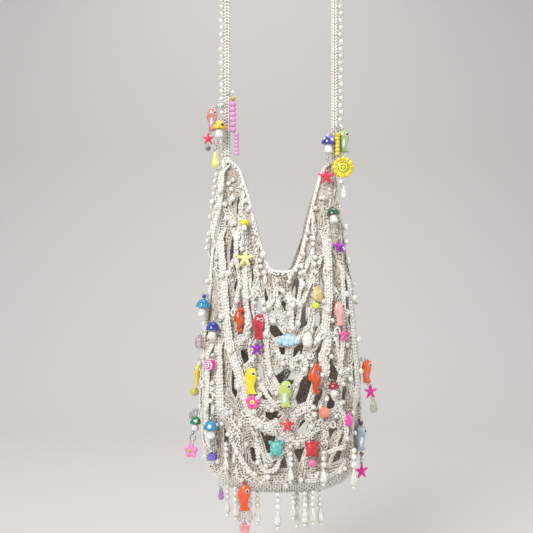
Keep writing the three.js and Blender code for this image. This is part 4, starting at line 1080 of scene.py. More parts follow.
# Pearls sewn one by one on the front of the net: turn, height share and width
SEWN_PEARLS = [
    (-84, 0.95, 4), (-80, 0.91, 3.5), (-50, 0.95, 4), (-49, 0.92, 4), (-48, 0.89, 5.5), (-80, 0.86, 5.5),
    (-43, 0.82, 4), (-76, 0.76, 4.5), (-84, 0.74, 4), (-84, 0.72, 4), (-46, 0.66, 5), (-73, 0.62, 4.5),
    (-36, 0.71, 4), (-33, 0.78, 3), (-33, 0.765, 3), (-25, 0.97, 4), (-38, 0.68, 5), (-11, 0.98, 5.5),
    (-12, 0.95, 4), (-12, 0.92, 4), (-12, 0.89, 4), (37, 0.93, 4.5), (17, 0.97, 4), (20, 0.92, 4),
    (20, 0.9, 4), (19, 0.88, 4), (19, 0.83, 4.5), (9, 0.97, 4), (25, 0.79, 4), (9, 0.93, 4), (10, 0.89, 4),
    (12, 0.85, 5.5), (42, 0.76, 4), (66, 0.79, 5.5), (69, 0.69, 5.5), (3, 0.95, 4), (-33, 0.46, 4.5),
    (-54, 0.41, 4), (-10, 0.5, 4), (-6, 0.54, 4.5), (0, 0.6, 5), (10, 0.54, 5), (20, 0.56, 5.5),
    (-63, 0.31, 4), (-50, 0.33, 4), (-25, 0.37, 4.5), (-51, 0.28, 4), (-69, 0.28, 4), (-10, 0.43, 4),
    (-3, 0.39, 4), (-41, 0.22, 4), (-35, 0.19, 4), (3, 0.24, 4), (23, 0.14, 4), (-54, 0.14, 4),
    (-7, 0.15, 4), (13, 0.28, 4.5), (-28, 0.63, 5), (-44, 0.53, 5), (-21, 0.7, 4), (-16, 0.73, 4),
    (-7, 0.71, 5), (4, 0.85, 4.5), (8, 0.82, 4.5), (5, 0.74, 4.5), (56, 0.59, 5), (64, 0.57, 5),
    (67, 0.45, 5), (50, 0.44, 4.5), (35, 0.55, 4.5), (65, 0.35, 4.5), (51, 0.34, 4.5), (31, 0.44, 4),
    (36, 0.38, 4), (26, 0.33, 4), (45, 0.28, 4), (53, 0.24, 4), (17, 0.34, 4), (-24, 0.25, 4),
    (-31, 0.28, 4), (-20, 0.19, 4), (-14, 0.14, 4), (-25, 0.06, 4), (-11, 0.05, 4), (1, 0.04, 4),
    (9, 0.08, 4), (19, 0.08, 4), (39, 0.08, 4), (44, 0.17, 4), (80, 0.14, 4), (-55, 0.25, 4),
    (-84, 0.13, 4), (-67, 0.39, 4.5), (-88, 0.965, 4), (-86, 0.925, 4.5), (-87, 0.9, 4), (-82, 0.885, 4),
    (-88, 0.84, 4), (-84, 0.815, 4.5), (-60, 0.93, 4), (-62, 0.9, 4.5), (-58, 0.86, 4.5), (-56, 0.82, 4),
    (-66, 0.85, 4),
]
# Rice-shaped pearls hang from the net in the same way: turn, height share, width and length
RICE_PEARLS = [
    (-80, 0.985, 3.4, 8.5), (-52, 0.88, 3.2, 8), (-9, 0.91, 3.4, 9), (20, 0.86, 3.2, 8), (-28, 0.83, 2.6, 6),
    (-52, 0.1, 3.4, 8), (-30, 0.12, 3.2, 7.5),
]
# Many more are scattered along the strands all round
MORE_PEARLS = 170
more_strand = random.permutation(np.flatnonzero(strand_long > 4))[:MORE_PEARLS]
more_place, more_out = on_strand(more_strand, random.uniform(0.35, 0.65, len(more_strand)),
                                 random.uniform(0.2, 0.8, len(more_strand)))


def sewn_on(rows, stand):
    """Places of pearls that touch the outermost yarn, by their rows and how far they stand off it."""
    outward = wall_outward(rows[:, 0], rows[:, 1])
    yarn = outermost_yarn(wall_point(rows[:, 0], rows[:, 1]), outward)
    return yarn + outward * (rows[:, 2:3] / 2 + stand)


front, rice = np.array(SEWN_PEARLS), np.array(RICE_PEARLS)
rice_place = sewn_on(rice, 0.5)
widths = np.concatenate((front[:, 2], random.uniform(3.2, 4.8, len(more_strand))))
places = np.concatenate((sewn_on(front, 0.3), more_place + more_out * (widths[len(front):, None] / 2)))
sewn_pearls = lay_beads("sewn_pearls", PEARL_BALL, places, widths, PEARL)
rice_pearls = lay_beads("rice_pearls", PEARL_BALL, rice_place, rice[:, 2], PEARL, 2.4)
for piece in (sewn_pearls, rice_pearls):
    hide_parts("net_body")
    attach(piece, "root")

# The charms: glazed ceramic animals, dyed stone starfish, shells, glass and beads, bought ready-made. Each string
# is hung from the net, the strap or the base by silver-coloured rings and links. The pendants are modelled in
# millimetres about their middles, with their fronts towards -Y and their backs against Y = 0.
LINK = 3.0
CLEARANCE = 0.3
FISH = 20.0
STAR = 13.0
MUSHROOM = 13.0
SEAHORSE = 22.0
TURTLE = 14.0
SHELL = 12.0
CLOUD = 18.0
DROP = 11.0
BEAD = 5.0
BEAD_ROW = 25.0
CUBE = 7.0
FLOWER = 10.5
ROSETTE = 19.0
RING = 6.0
WIRE = 1.1
TASSEL = 28.0


def linear(code, opacity=1.0):
    """A colour from its hexadecimal code."""
    parts = [int(code[i:i + 2], 16) / 255 for i in (0, 2, 4)]
    return tuple(((c + 0.055) / 1.055) ** 2.4 if c > 0.04045 else c / 12.92 for c in parts) + (opacity,)


def pooled_finish():
    """Colour that pools: thinner and paler in soft patches, deeper elsewhere, over a slightly uneven skin."""
    group, given, out = new_group(
        "pooled_finish", [("Place", "Vector"), ("Deep", "Color"), ("Thin", "Color"), ("Size", "Float")],
        [("Colour", "Color"), ("Relief", "Float")])
    patches = add_node(group, "TexNoise", "patches", Vector=given.outputs["Place"],
                       Scale=given.outputs["Size"], Detail=2.0)
    spread = add_node(group, "MapRange", Value=patches.outputs["Fac"], From_Min=0.4, From_Max=0.62)
    mixed = add_node(group, "Mix", "deep to thin")
    mixed.data_type = "RGBA"
    set_sockets(group, mixed, {"i0": spread.outputs["Result"], "i6": given.outputs["Deep"],
                               "i7": given.outputs["Thin"]})
    group.links.new(mixed.outputs[2], out.inputs["Colour"])
    group.links.new(patches.outputs["Fac"], out.inputs["Relief"])
    return group


POOLED = pooled_finish()
# Each kind of finish: how fine its patches are, how deep its skin's unevenness is, and its roughness
FINISH_KINDS = {
    "glaze": (190.0, 0.0004, 0.16), "stone": (420.0, 0.0005, 0.42), "shell": (300.0, 0.0006, 0.5),
    "glass": (240.0, 0.0002, 0.05), "enamel": (260.0, 0.0002, 0.2), "metal": (300.0, 0.0002, 0.22),
}
finishes = {}


def finish(kind, code, second=None):
    """The material of one kind of finish in one colour, made once."""
    key = (kind, code, second)
    if key in finishes:
        return finishes[key]
    material, tree, shader = new_material(f"{kind}_{code}" + (f"_{second}" if second else ""))
    base = linear(code)
    thin = linear(second) if second else tuple(min(1.0, c * 1.25 + 0.03) for c in base[:3]) + (1.0,)
    size, uneven, roughness = FINISH_KINDS[kind]
    place = add_node(tree, "TexCoord").outputs["Object"]
    pooled = place_group(tree, POOLED, Place=place, Deep=base, Thin=thin, Size=size)
    bump = add_node(tree, "Bump", Height=pooled.outputs["Relief"], Strength=0.35, Distance=uneven)
    tree.links.new(pooled.outputs["Colour"], shader.inputs["Base Color"])
    tree.links.new(bump.outputs["Normal"], shader.inputs["Normal"])
    shader.inputs["Roughness"].default_value = roughness
    if kind == "glaze":
        shader.inputs["Coat Weight"].default_value = 0.8
        shader.inputs["Coat Roughness"].default_value = 0.04
    elif kind == "glass":
        shader.inputs["Transmission Weight"].default_value = 0.75
        shader.inputs["IOR"].default_value = 1.5
    elif kind == "metal":
        shader.inputs["Metallic"].default_value = 1.0
    finishes[key] = material
    return material


SILVER = finish("metal", "b9b7b2", "d6d4cf")
WHITE_GLAZE = finish("glaze", "e4e2dc", "f2f1ee")
BLACK_GLAZE = finish("glaze", "120f12", "1c181c")


def mark(faces, palette, material):
    """Gives faces a material, which takes its slot in the piece's palette."""
    if material not in palette:
        palette.append(material)
    for face in faces:
        face.material_index = palette.index(material)
        face.smooth = True


def faces_of(verts):
    return {face for vert in verts for face in vert.link_faces}


def edges_of(verts):
    return {edge for vert in verts for edge in vert.link_edges}


def add_ball(form, palette, material, middle, size, turn=0.0, around=14, rings=9):
    """An egg or ball by its middle and its width, depth and height, leant by degrees to the side."""
    lean = Matrix.Rotation(math.radians(turn), 4, "Y")
    matrix = Matrix.Translation(middle) @ lean @ Matrix.Diagonal((*size, 1))
    verts = bmesh.ops.create_uvsphere(
        form, u_segments=around, v_segments=rings, radius=0.5, matrix=matrix)["verts"]
    mark(faces_of(verts), palette, material)
    return verts


def spin_round(form, line, around):
    """Spins vertices and their edges once round the upright axis, and gives back all the form's new vertices."""
    bmesh.ops.spin(form, geom=line + list(edges_of(line)), angle=2 * math.pi, steps=around, axis=(0, 0, 1),
                   cent=(0, 0, 0), use_merge=True)
    found, queue = set(), line[:]
    while queue:
        vert = queue.pop()
        if vert not in found:
            found.add(vert)
            queue += [edge.other_vert(vert) for edge in vert.link_edges]
    return list(found)


def add_turned(form, palette, material, profile, around=18, flat=1.0, back=0.0):
    """A form turned round its upright axis from a profile of radii and heights, flattened front to back."""
    line = [form.verts.new((radius, 0, height)) for radius, height in profile]
    for pair in zip(line, line[1:]):
        form.edges.new(pair)
    verts = spin_round(form, line, around)
    bmesh.ops.remove_doubles(form, verts=verts, dist=1e-4)
    verts = [vert for vert in verts if vert.is_valid]
    bmesh.ops.scale(form, vec=(1, flat, 1), verts=verts)
    deepest = max(vert.co.y for vert in verts)
    bmesh.ops.translate(form, vec=(0, back - deepest, 0), verts=verts)
    mark(faces_of(verts), palette, material)
    return verts


def add_tube(form, palette, material, path, radii, around=8):
    """A tube through points, drawn ring by ring with its own radius at each, and closed at both ends."""
    rings = []
    for i, point in enumerate(path):
        run = Vector(path[min(i + 1, len(path) - 1)]) - Vector(path[max(i - 1, 0)])
        matrix = Matrix.Translation(point) @ run.to_track_quat("Z", "Y").to_matrix().to_4x4()
        verts = bmesh.ops.create_circle(form, segments=around, radius=radii[i], matrix=matrix,
                                        cap_ends=i in (0, len(path) - 1))["verts"]
        rings.append(verts)
    for low, high in zip(rings, rings[1:]):
        edges = [edge for ring in (low, high) for edge in edges_of(ring)
                 if all(vert in ring for vert in edge.verts)]
        bmesh.ops.bridge_loops(form, edges=edges)
    mark({face for ring in rings for face in faces_of(ring)}, palette, material)


def add_ring(form, palette, material, middle, width, wire, axis="Y", around=14):
    """A wire ring by its middle, outer width and wire."""
    start = Matrix.Translation((width / 2 - wire / 2, 0, 0)) @ Matrix.Rotation(math.radians(90), 4, "X")
    circle = bmesh.ops.create_circle(form, segments=6, radius=wire / 2, matrix=start)["verts"]
    verts = spin_round(form, circle, around)
    turns = {"Y": Matrix.Rotation(math.radians(90), 4, "X"), "X": Matrix.Rotation(math.radians(90), 4, "Y"),
             "Z": Matrix.Identity(4)}
    bmesh.ops.transform(form, matrix=Matrix.Translation(middle) @ turns[axis], verts=verts)
    mark(faces_of(verts), palette, material)


def add_links(form, palette, start, end):
    """A short chain of silver-coloured rings from point to point, each turned across the last."""
    run = Vector(end) - Vector(start)
    number = max(1, round(run.length / 2.3))
    wide = max(3.0, run.length / number + 1.0)
    for k in range(number):
        middle = Vector(start) + run * (k + 0.5) / number
        add_ring(form, palette, SILVER, middle, wide, 0.6, "YX"[k % 2], around=10)


def make_fish(form, palette, code, second, belly=None):
    """A plump glazed fish, tail down: a fin on its back, three tail lobes, an eye and a stripe on each side."""
    body = finish("glaze", code, second)
    verts = add_turned(form, palette, body, [
        (0, 10), (1.6, 9.75), (3.1, 8.9), (4.1, 7.2), (4.5, 5), (4.4, 2.5), (4.0, 0), (3.4, -2.6), (3.0, -5),
        (3.2, -7), (3.9, -9.2), (3.9, -9.9), (0, -9.4)], around=20, flat=0.56)
    for vert in verts:
        t = vert.co.z / 10
        vert.co.x += 0.7 * t * t - 0.35 + 0.25 * math.sin(t * 4)
        vert.co.y -= 0.25
        if vert.co.z < -6:
            vert.co.y = -2.7 + (vert.co.y + 2.7) * (1 + 0.14 * (vert.co.z + 6))
    add_ball(form, palette, body, (-4.2, -2.6, 3.0), (1.8, 1.3, 7.0), turn=4)
    if belly:
        stripe = finish("glaze", belly)
        for side in (-1, 1):
            add_ball(form, palette, stripe, (-0.6, -2.6 + side * 1.45, -0.6), (3.3, 2.2, 13), turn=3)
    for x in (-2.1, 0, 2.1):
        add_ball(form, palette, body, (x, -2.6, -8.4), (1.5, 2.2, 3.0), turn=-x * 8, around=10, rings=7)
    for side in (-1, 1):
        add_ball(form, palette, WHITE_GLAZE, (2.0, -2.6 + side * 1.9, 5.6), (3.6, 1.8, 3.6))
        add_ball(form, palette, BLACK_GLAZE, (2.2, -2.6 + side * 2.65, 5.7), (2.1, 0.8, 2.1))
    add_ball(form, palette, finish("glaze", code), (1.3, -2.8, 9.1), (2.6, 2.0, 1.3))
    add_ring(form, palette, SILVER, (0.3, -2.6, 10.4), 2.4, 0.6, "Z", around=10)


def make_star(form, palette, code, second):
    """A carved starfish of dyed stone: five arms that taper from a low middle."""
    stone = finish("stone", code, second)
    add_ball(form, palette, stone, (0, -1.7, 0), (4.8, 3.4, 4.8))
    for k in range(5):
        turn = 72 * k
        lean = Matrix.Rotation(math.radians(turn), 4, "Y")
        matrix = Matrix.Translation((0, -1.7, 0)) @ lean @ Matrix.Diagonal((3.5, 3.1, 7.4, 1))
        matrix = matrix @ Matrix.Translation((0, 0, 0.39))
        verts = bmesh.ops.create_uvsphere(
            form, u_segments=10, v_segments=8, radius=0.5, matrix=matrix)["verts"]
        outward = lean @ Vector((0, 0, 1))
        for vert in verts:
            off = vert.co - Vector((0, -1.7, 0))
            far = max(off.dot(outward), 0) / 6.6
            slim = off - outward * off.dot(outward)
            vert.co -= slim * 0.62 * far
        mark(faces_of(verts), palette, stone)


def make_mushroom(form, palette, code, second):
    """A half-round glazed cap, closed below, on a thick white stem, with dots where a second colour is given."""
    cap = finish("glaze", code)
    verts = add_ball(form, palette, cap, (0, -5.07, 0.3), (10.14, 10.14, 12.4), around=24, rings=16)
    whole = verts + list(edges_of(verts)) + list(faces_of(verts))
    cut = bmesh.ops.bisect_plane(
        form, geom=whole, plane_co=(0, 0, 0.1), plane_no=(0, 0, -1), clear_outer=True)["geom_cut"]
    under = bmesh.ops.holes_fill(form, edges=of_kind(bmesh.types.BMEdge, cut))["faces"]
    mark(under, palette, cap)
    add_turned(form, palette, WHITE_GLAZE, [
        (0, -6.5), (2.2, -6.5), (3.1, -6.0), (3.35, -4.8), (3.1, -3.0), (2.7, 0.2), (0, 0.4)], back=-1.75)
    if second:
        for turn, up, wide in ((34, 26, 3.2), (-50, 34, 2.6), (130, 30, 3), (-140, 36, 3)):
            a, b = math.radians(turn), math.radians(up)
            place = Vector((4.15 * math.sin(a) * math.cos(b), -5.07 - 4.15 * math.cos(a) * math.cos(b),
                            0.3 + 5.2 * math.sin(b)))
            add_ball(form, palette, finish("glaze", second), place, (wide, wide, wide), around=12, rings=8)


def make_seahorse(form, palette, code, second):
    """A ribbed body that curls up at the tail, with a snout, a crest, a fin, a paler belly and an eye."""
    clay = finish("glaze", code, second)
    spine = np.array([
        (0.02, 0.45, 0.06), (0.05, 0.36, 0.09), (-0.01, 0.26, 0.08), (-0.04, 0.14, 0.125), (0.0, 0.02, 0.14),
        (0.05, -0.1, 0.115), (0.04, -0.22, 0.085), (0.0, -0.33, 0.068), (0.0, -0.42, 0.055),
        (0.06, -0.46, 0.05), (0.11, -0.42, 0.045), (0.09, -0.37, 0.035), (0.05, -0.38, 0.02)])
    rings = 44
    steps = np.linspace(0, len(spine) - 1, rings)
    xs, zs, radii = (np.interp(steps, range(len(spine)), column) for column in spine.T)
    ribs = 1 + 0.1 * np.cos(np.arange(rings) * math.pi)

    def at(x, z, y=-1.9):
        return x * SEAHORSE, y, z * SEAHORSE

    add_tube(form, palette, clay, [at(x, z) for x, z in zip(xs, zs)],
             [r * 1.2 * SEAHORSE * rib for r, rib in zip(radii, ribs)], around=12)
    add_tube(form, palette, clay, [at(0.06, 0.37), at(0.14, 0.32), at(0.2, 0.27)], [1.7, 1.2, 1.1])
    add_ball(form, palette, clay, at(0.02, 0.47), (2.4, 1.8, 1.8))
    add_ball(form, palette, clay, at(-0.16, 0.04), (2.4, 1.2, 5.0), turn=-8)
    add_ball(form, palette, finish("glaze", second), at(0.02, 0.1, -4.2), (2.2, 1.0, 3.2), turn=-20)
    add_ball(form, palette, BLACK_GLAZE, at(0.07, 0.37, -3.95), (1.1, 0.8, 1.1), around=8, rings=6)


def make_turtle(form, palette, code, second):
    """A turtle of dyed stone, head up: a domed shell with carved plates, four flippers, a head and a tail."""
    stone = finish("stone", code, second)
    for vert in add_ball(form, palette, stone, (0, -2.3, -0.1), (9.6, 5.0, 10.6), around=28, rings=20):
        ridge = math.cos(vert.co.x * 2.1) * math.cos(vert.co.z * 2.1)
        vert.co.y += 0.3 * ridge * (1 if vert.co.y < -2.3 else 0)
    for x, z, turn, long in ((4.1, 3.9, 46, 4.6), (3.5, -4.4, 146, 4.0)):
        for side in (1, -1):
            add_ball(form, palette, stone, (x * side, -1.6, z), (3.2, 2.2, long), turn=turn * side)
    add_ball(form, palette, stone, (0, -1.9, 5.4), (3.8, 3.2, 3.6))
    add_ball(form, palette, stone, (0, -1.2, -6.0), (1.3, 1.2, 2.2))


def make_shell(form, palette, code, second):
    """A small spiral shell: an egg with whorls that wind round it."""
    material = finish("shell", code, second)
    for vert in add_ball(form, palette, material, (0, -2.4, 0), (8.6, 4.8, 12.4), around=28, rings=40):
        round_it = math.atan2(vert.co.y + 2.4, vert.co.x)
        whorl = (1 + 0.07 * math.sin(vert.co.z * 3.6 + round_it)) * (1 - 0.025 * vert.co.z)
        vert.co.x *= whorl
        vert.co.y = -2.4 + (vert.co.y + 2.4) * whorl


def make_fluted(form, palette, code, second):
    """An egg of pressed glass with ten flutes that run out at its ends."""
    material = finish("glass", code, second)
    for vert in add_ball(form, palette, material, (0, -3.4, 0), (9.4, 7.0, 12), around=40, rings=14):
        round_it = math.atan2(vert.co.y + 3.4, vert.co.x)
        flute = 1 + 0.07 * math.cos(round_it * 10) * (1 - (vert.co.z / 6) ** 2)
        vert.co.x *= flute
        vert.co.y = -3.4 + (vert.co.y + 3.4) * flute


def make_cloud(form, palette, code, second):
    """A glazed cloud of seven puffs, with a silver-coloured bead below."""
    material = finish("glaze", code, second)
    for x, z, wide in ((-6.3, -0.9, 4.9), (-3.4, 0.9, 6.0), (0.3, 1.5, 7.0), (3.7, 0.8, 6.0),
                       (6.4, -0.9, 4.7), (-1.8, -1.7, 5.6), (2.2, -1.7, 5.6)):
        add_ball(form, palette, material, (x, -2.5, z), (wide, wide * 0.78, wide), around=16, rings=11)
    add_ball(form, palette, SILVER, (0, -2.5, -4.6), (1.8, 1.8, 1.8), around=10, rings=7)


def make_drop(form, palette, code, second):
    """A drop, glazed or, where the second colour says so, of glass."""
    add_turned(form, palette, finish("glass" if second == "glass" else "glaze", code), [
        (0, -5.5), (1.2, -5.2), (2.1, -4.2), (2.5, -2.9), (2.45, -1.6), (1.7, 1.6), (0.85, 4.2), (0.5, 5.2),
        (0, 5.4)], around=16)


def make_bead(form, palette, code, second):
    """A glazed bead: plain, with a white spiral on its face, or with a ruffled skin."""
    middle = Vector((0, -2.5, 0))
    if second == "swirl":
        verts = add_ball(form, palette, finish("glaze", code), middle, (5, 5, 4.7), around=64, rings=44)
        white = []
        for face in faces_of(verts):
            x, _, z = face.calc_center_median()
            if math.sin(math.hypot(x - 0.5, z) * 8.5 + math.atan2(z, x - 0.5)) > 0.25:
                white.append(face)
        mark(white, palette, finish("glaze", "f2e6ee"))
    elif second == "ruffled":
        for vert in add_ball(form, palette, finish("glaze", code), middle, (5, 5, 4.7), around=64, rings=44):
            ruffle = math.sin(vert.co.x * 4 + vert.co.y * 3) * math.sin(vert.co.z * 5)
            vert.co += (vert.co - middle) * 0.11 * ruffle
    else:
        add_ball(form, palette, finish("glaze", code, second), middle, (5, 5, 4.7), around=18, rings=12)


def make_bead_row(form, palette, code, second):
    """Six barrel beads, one under the other."""
    number = 6
    for k in range(number):
        z = BEAD_ROW * (0.5 - (k + 0.5) / number)
        barrel = [(0.5, -2.05), (1.9, -2.0), (2.6, -1.3), (2.75, 0), (2.6, 1.3), (1.9, 2.0), (0.5, 2.05)]
        add_turned(form, palette, finish("glaze", code, second), [(radius, z + up) for radius, up in barrel],
                   around=14, back=0.5)


def make_cube(form, palette, code, second):
    """A cube with cut edges, turned a little, with a silver-coloured bead below."""
    verts = bmesh.ops.create_cube(form, size=CUBE)["verts"]
    cut = bmesh.ops.bevel(form, geom=list(edges_of(verts)), offset=0.8, affect="EDGES", segments=1,
                          profile=0.5, material=-1)
    verts = list({vert for face in cut["faces"] for vert in face.verts})
    turn = Matrix.Rotation(0.45, 4, "Z") @ Matrix.Rotation(0.1, 4, "Y")
    bmesh.ops.transform(form, matrix=Matrix.Translation((0, -CUBE * 0.6, 0)) @ turn, verts=verts)
    mark(faces_of(verts), palette, finish("glaze", code, second))
    for face in faces_of(verts):
        face.smooth = False
    add_ball(form, palette, SILVER, (0, -CUBE * 0.6, -CUBE * 0.56), (1.8, 1.8, 1.6), around=10, rings=6)


def make_flower(form, palette, code, second):
    """A flower of five stone petals round a glazed middle."""
    for k in range(5):
        turn = math.radians(72 * k)
        add_ball(form, palette, finish("stone", code), (2.9 * math.sin(turn), -1.5, 2.9 * math.cos(turn)),
                 (4.7, 2.6, 5.4), turn=72 * k)
    add_ball(form, palette, finish("glaze", second), (0, -2.3, 0), (3.6, 2.2, 3.6))
    add_ball(form, palette, finish("glaze", "5d6a1e"), (0, -3.25, 0), (1.4, 0.7, 1.4), around=10, rings=6)


def make_rosette(form, palette, code, second):
    """A ring of twelve beads round a disc with two plain black rings."""
    for k in range(12):
        turn = math.radians(30 * k)
        add_ball(form, palette, finish("glaze", code), (7.0 * math.sin(turn), -1.9, 7.0 * math.cos(turn)),
                 (3.9, 3.4, 3.9))
    add_ball(form, palette, finish("glaze", second), (0, -1.9, 0), (10.6, 3.2, 10.6), around=28, rings=12)
    add_ring(form, palette, BLACK_GLAZE, (0, -3.15, 0), 8.6, 0.5, "Y", around=28)
    add_ring(form, palette, BLACK_GLAZE, (0, -3.4, 0), 4.2, 0.5, "Y", around=20)


def make_hoop(form, palette, code, second):
    """A thick ring of clear glass, which hangs behind the pendant that follows it."""
    add_ring(form, palette, finish("glass", code, second), (-2.0, 7.5, -2.0), 14.0, 3.2, "Y", around=40)


def make_ring(form, palette, code, second):
    """A silver-coloured ring that carries the pendant under it."""
    add_ring(form, palette, SILVER, (0, -WIRE / 2, 0), RING, WIRE, "Y", around=24)


def make_pearls(form, palette, code, second):
    """Pearls that grow downwards, a long drop and a small bead at the end, on one thread."""
    top = TASSEL / 2
    thread = finish("enamel", "d8d2c4")
    add_tube(form, palette, thread, [(0, -2.5, z) for z in (top, 0, -top + 1.2)], [0.25] * 3, around=5)
    for low, wide in ((3.9, 3.9), (8.4, 4.5), (13.5, 5.1), (28.0, 3.2)):
        add_ball(form, palette, PEARL, (0, -2.5, top - low + wide / 2), (wide, wide, wide))
        add_ball(form, palette, SILVER, (0, -2.5, top - low + wide), (1.4, 1.4, 0.8), around=8, rings=5)
    drop = add_turned(form, palette, PEARL, [
        (0, 0), (1.7, 0.3), (2.6, 1.4), (2.95, 3.0), (2.6, 5.2), (1.7, 8.0), (0.9, 10.2), (0.5, 11.2),
        (0, 11.3)], around=14)
    bmesh.ops.translate(form, vec=(0, 0.45, top - 24.9), verts=drop)


# Each kind of pendant: its height, its thickness, how far a wire reaches into it, and how it is made
HELD = 0.15
KINDS = {
    "fish": (FISH, 0.24 * FISH, HELD, make_fish),
    "star": (STAR, 0.26 * STAR, 0.4, make_star),
    "mushroom": (MUSHROOM, 0.78 * MUSHROOM, HELD, make_mushroom),
    "seahorse": (SEAHORSE, 0.16 * SEAHORSE, HELD, make_seahorse),
    "turtle": (TURTLE, 0.36 * TURTLE, HELD, make_turtle),
    "shell": (SHELL, 0.4 * SHELL, HELD, make_shell),
    "fluted": (SHELL, 0.4 * SHELL, HELD, make_fluted),
    "cloud": (0.52 * CLOUD, 0.28 * CLOUD, HELD, make_cloud),
    "drop": (DROP, 0.46 * DROP, HELD, make_drop),
    "bead": (BEAD, BEAD, HELD, make_bead),
    "bead_row": (BEAD_ROW, 0.17 * BEAD_ROW, HELD, make_bead_row),
    "cube": (CUBE, 1.3 * CUBE, HELD, make_cube),
    "flower": (FLOWER, 0.3 * FLOWER, HELD, make_flower),
    "rosette": (ROSETTE, 0.18 * ROSETTE, HELD, make_rosette),
    "ring": (RING, WIRE, HELD, make_ring),
    "hoop": (0.0, WIRE, HELD, make_hoop),
    "pearls": (TASSEL, 0.18 * TASSEL, HELD, make_pearls),
}

strand_starts = wall_point(strands[:, 0, 0], strands[:, 0, 1] / CHART_DEGREES)
strand_ends = wall_point(strands[:, 1, 0], strands[:, 1, 1] / CHART_DEGREES)


def nearest_strand(point):
    run = strand_ends - strand_starts
    t = np.clip(((point - strand_starts) * run).sum(1) / (run * run).sum(1), 0, 1)
    found = strand_starts + run * t[:, None]
    return found[np.linalg.norm(found - point, axis=1).argmin()]


def on_wall(turn, height, out, faces):
    """Where a charm hangs on the net: its place, its right, back and up directions, and its hook."""
    share = height * SIDE_HEIGHT / top_edge(turn)
    off = wall_outward(np.array(float(turn)), np.array(share))
    if off[2] < 0 or faces is not None:
        off = unit(off * (1, 1, 0))
    outward = off
    if faces is not None:
        outward = np.array((math.sin(math.radians(faces)), -math.cos(math.radians(faces)), 0))
    right = unit(np.cross((0, 0, 1), outward))
    up = np.cross(outward, right)
    surface = wall_point(np.array(float(turn)), np.array(share))
    hook = outermost_yarn(nearest_strand(surface + up * LINK)[None], off[None])[0] + off * WIRE / 2
    return surface + off * out * LINK, right, -outward, up, hook


def on_strap(side, above, beside):
    """Where a charm hangs on the front of a run of the strap, and its hook."""
    middle, aside, height = side * STRAP_REACH, beside * LINK, SIDE_HEIGHT * (1 + above)
    edge = STRAP_THICK / 2 - 1.2
    hooked = middle + min(max(aside, -edge), edge)
    hook = np.array((hooked, -STRAP_DEEP / 2 - CLEARANCE - WIRE / 2, height + LINK))
    return np.array((middle + aside, -STRAP_DEEP / 2, height)), *np.eye(3), hook


def underside(across, back):
    """The body's underside over a place given as shares of the half width and half depth."""
    low, high = 0.0, 0.26 * SIDE_HEIGHT
    while high - low > 0.01:
        middle = (low + high) / 2
        wide, deep = (follow(SECTIONS, column, middle / SIDE_HEIGHT) for column in (1, 2))
        if abs(across / wide) ** (2 / SQUARENESS) + abs(back / deep) ** (2 / SQUARENESS) <= 1:
            high = middle
        else:
            low = middle
    return np.array((across * HALF_WIDTH, back * HALF_DEPTH, low if low > 0.02 else 0.0))


def under_base(across, back, kind, size):
    hook = underside(across, back) - (0, 0, CLEARANCE)
    return hook + (0, CLEARANCE + KINDS[kind][1] * size / 2, -LINK), *np.eye(3), hook


# Small beads threaded on the wires: which pendant each sits over, millimetres above its top, width and colour
SMALL_BEADS = {
    "mushroom_green": [(0, 1.0, 2.6, None)],
    "mushroom_teal": [(0, 2.1, 4.0, "4b2f92")],
    "seahorse_left": [(0, 1.6, 3.4, "6e0f1c")],
    "fish_red": [(0, 1.2, 3.6, "c9bcd6")],
    "fish_grey": [(0, 1.7, 4.0, "40184e"), (1, 7.0, 3.6, "4c1650"), (1, 3.0, 2.6, None)],
    "mushroom_aqua": [(0, 1.5, 2.8, None), (1, 10.6, 3.0, None), (1, 1.4, 2.6, None)],
    "mushroom_emerald": [(1, 1.5, 2.8, None), (2, 1.0, 2.6, None)],
    "mushroom_cobalt": [(0, 1.3, 2.6, None)],
    "turtle_red": [(0, 1.2, 2.6, None)],
    "drop_pink": [(0, 1.2, 2.4, None)],
    "bead_row_pink": [(0, 2.8, 3.2, "dfdde6")],
    "mushroom_strap_yellow": [(1, 6.6, 3.8, "b49090"), (1, 1.4, 2.6, None)],
    "fish_base": [(0, 1.4, 3.4, "9c2410"), (1, 1.6, 2.6, None)],
}


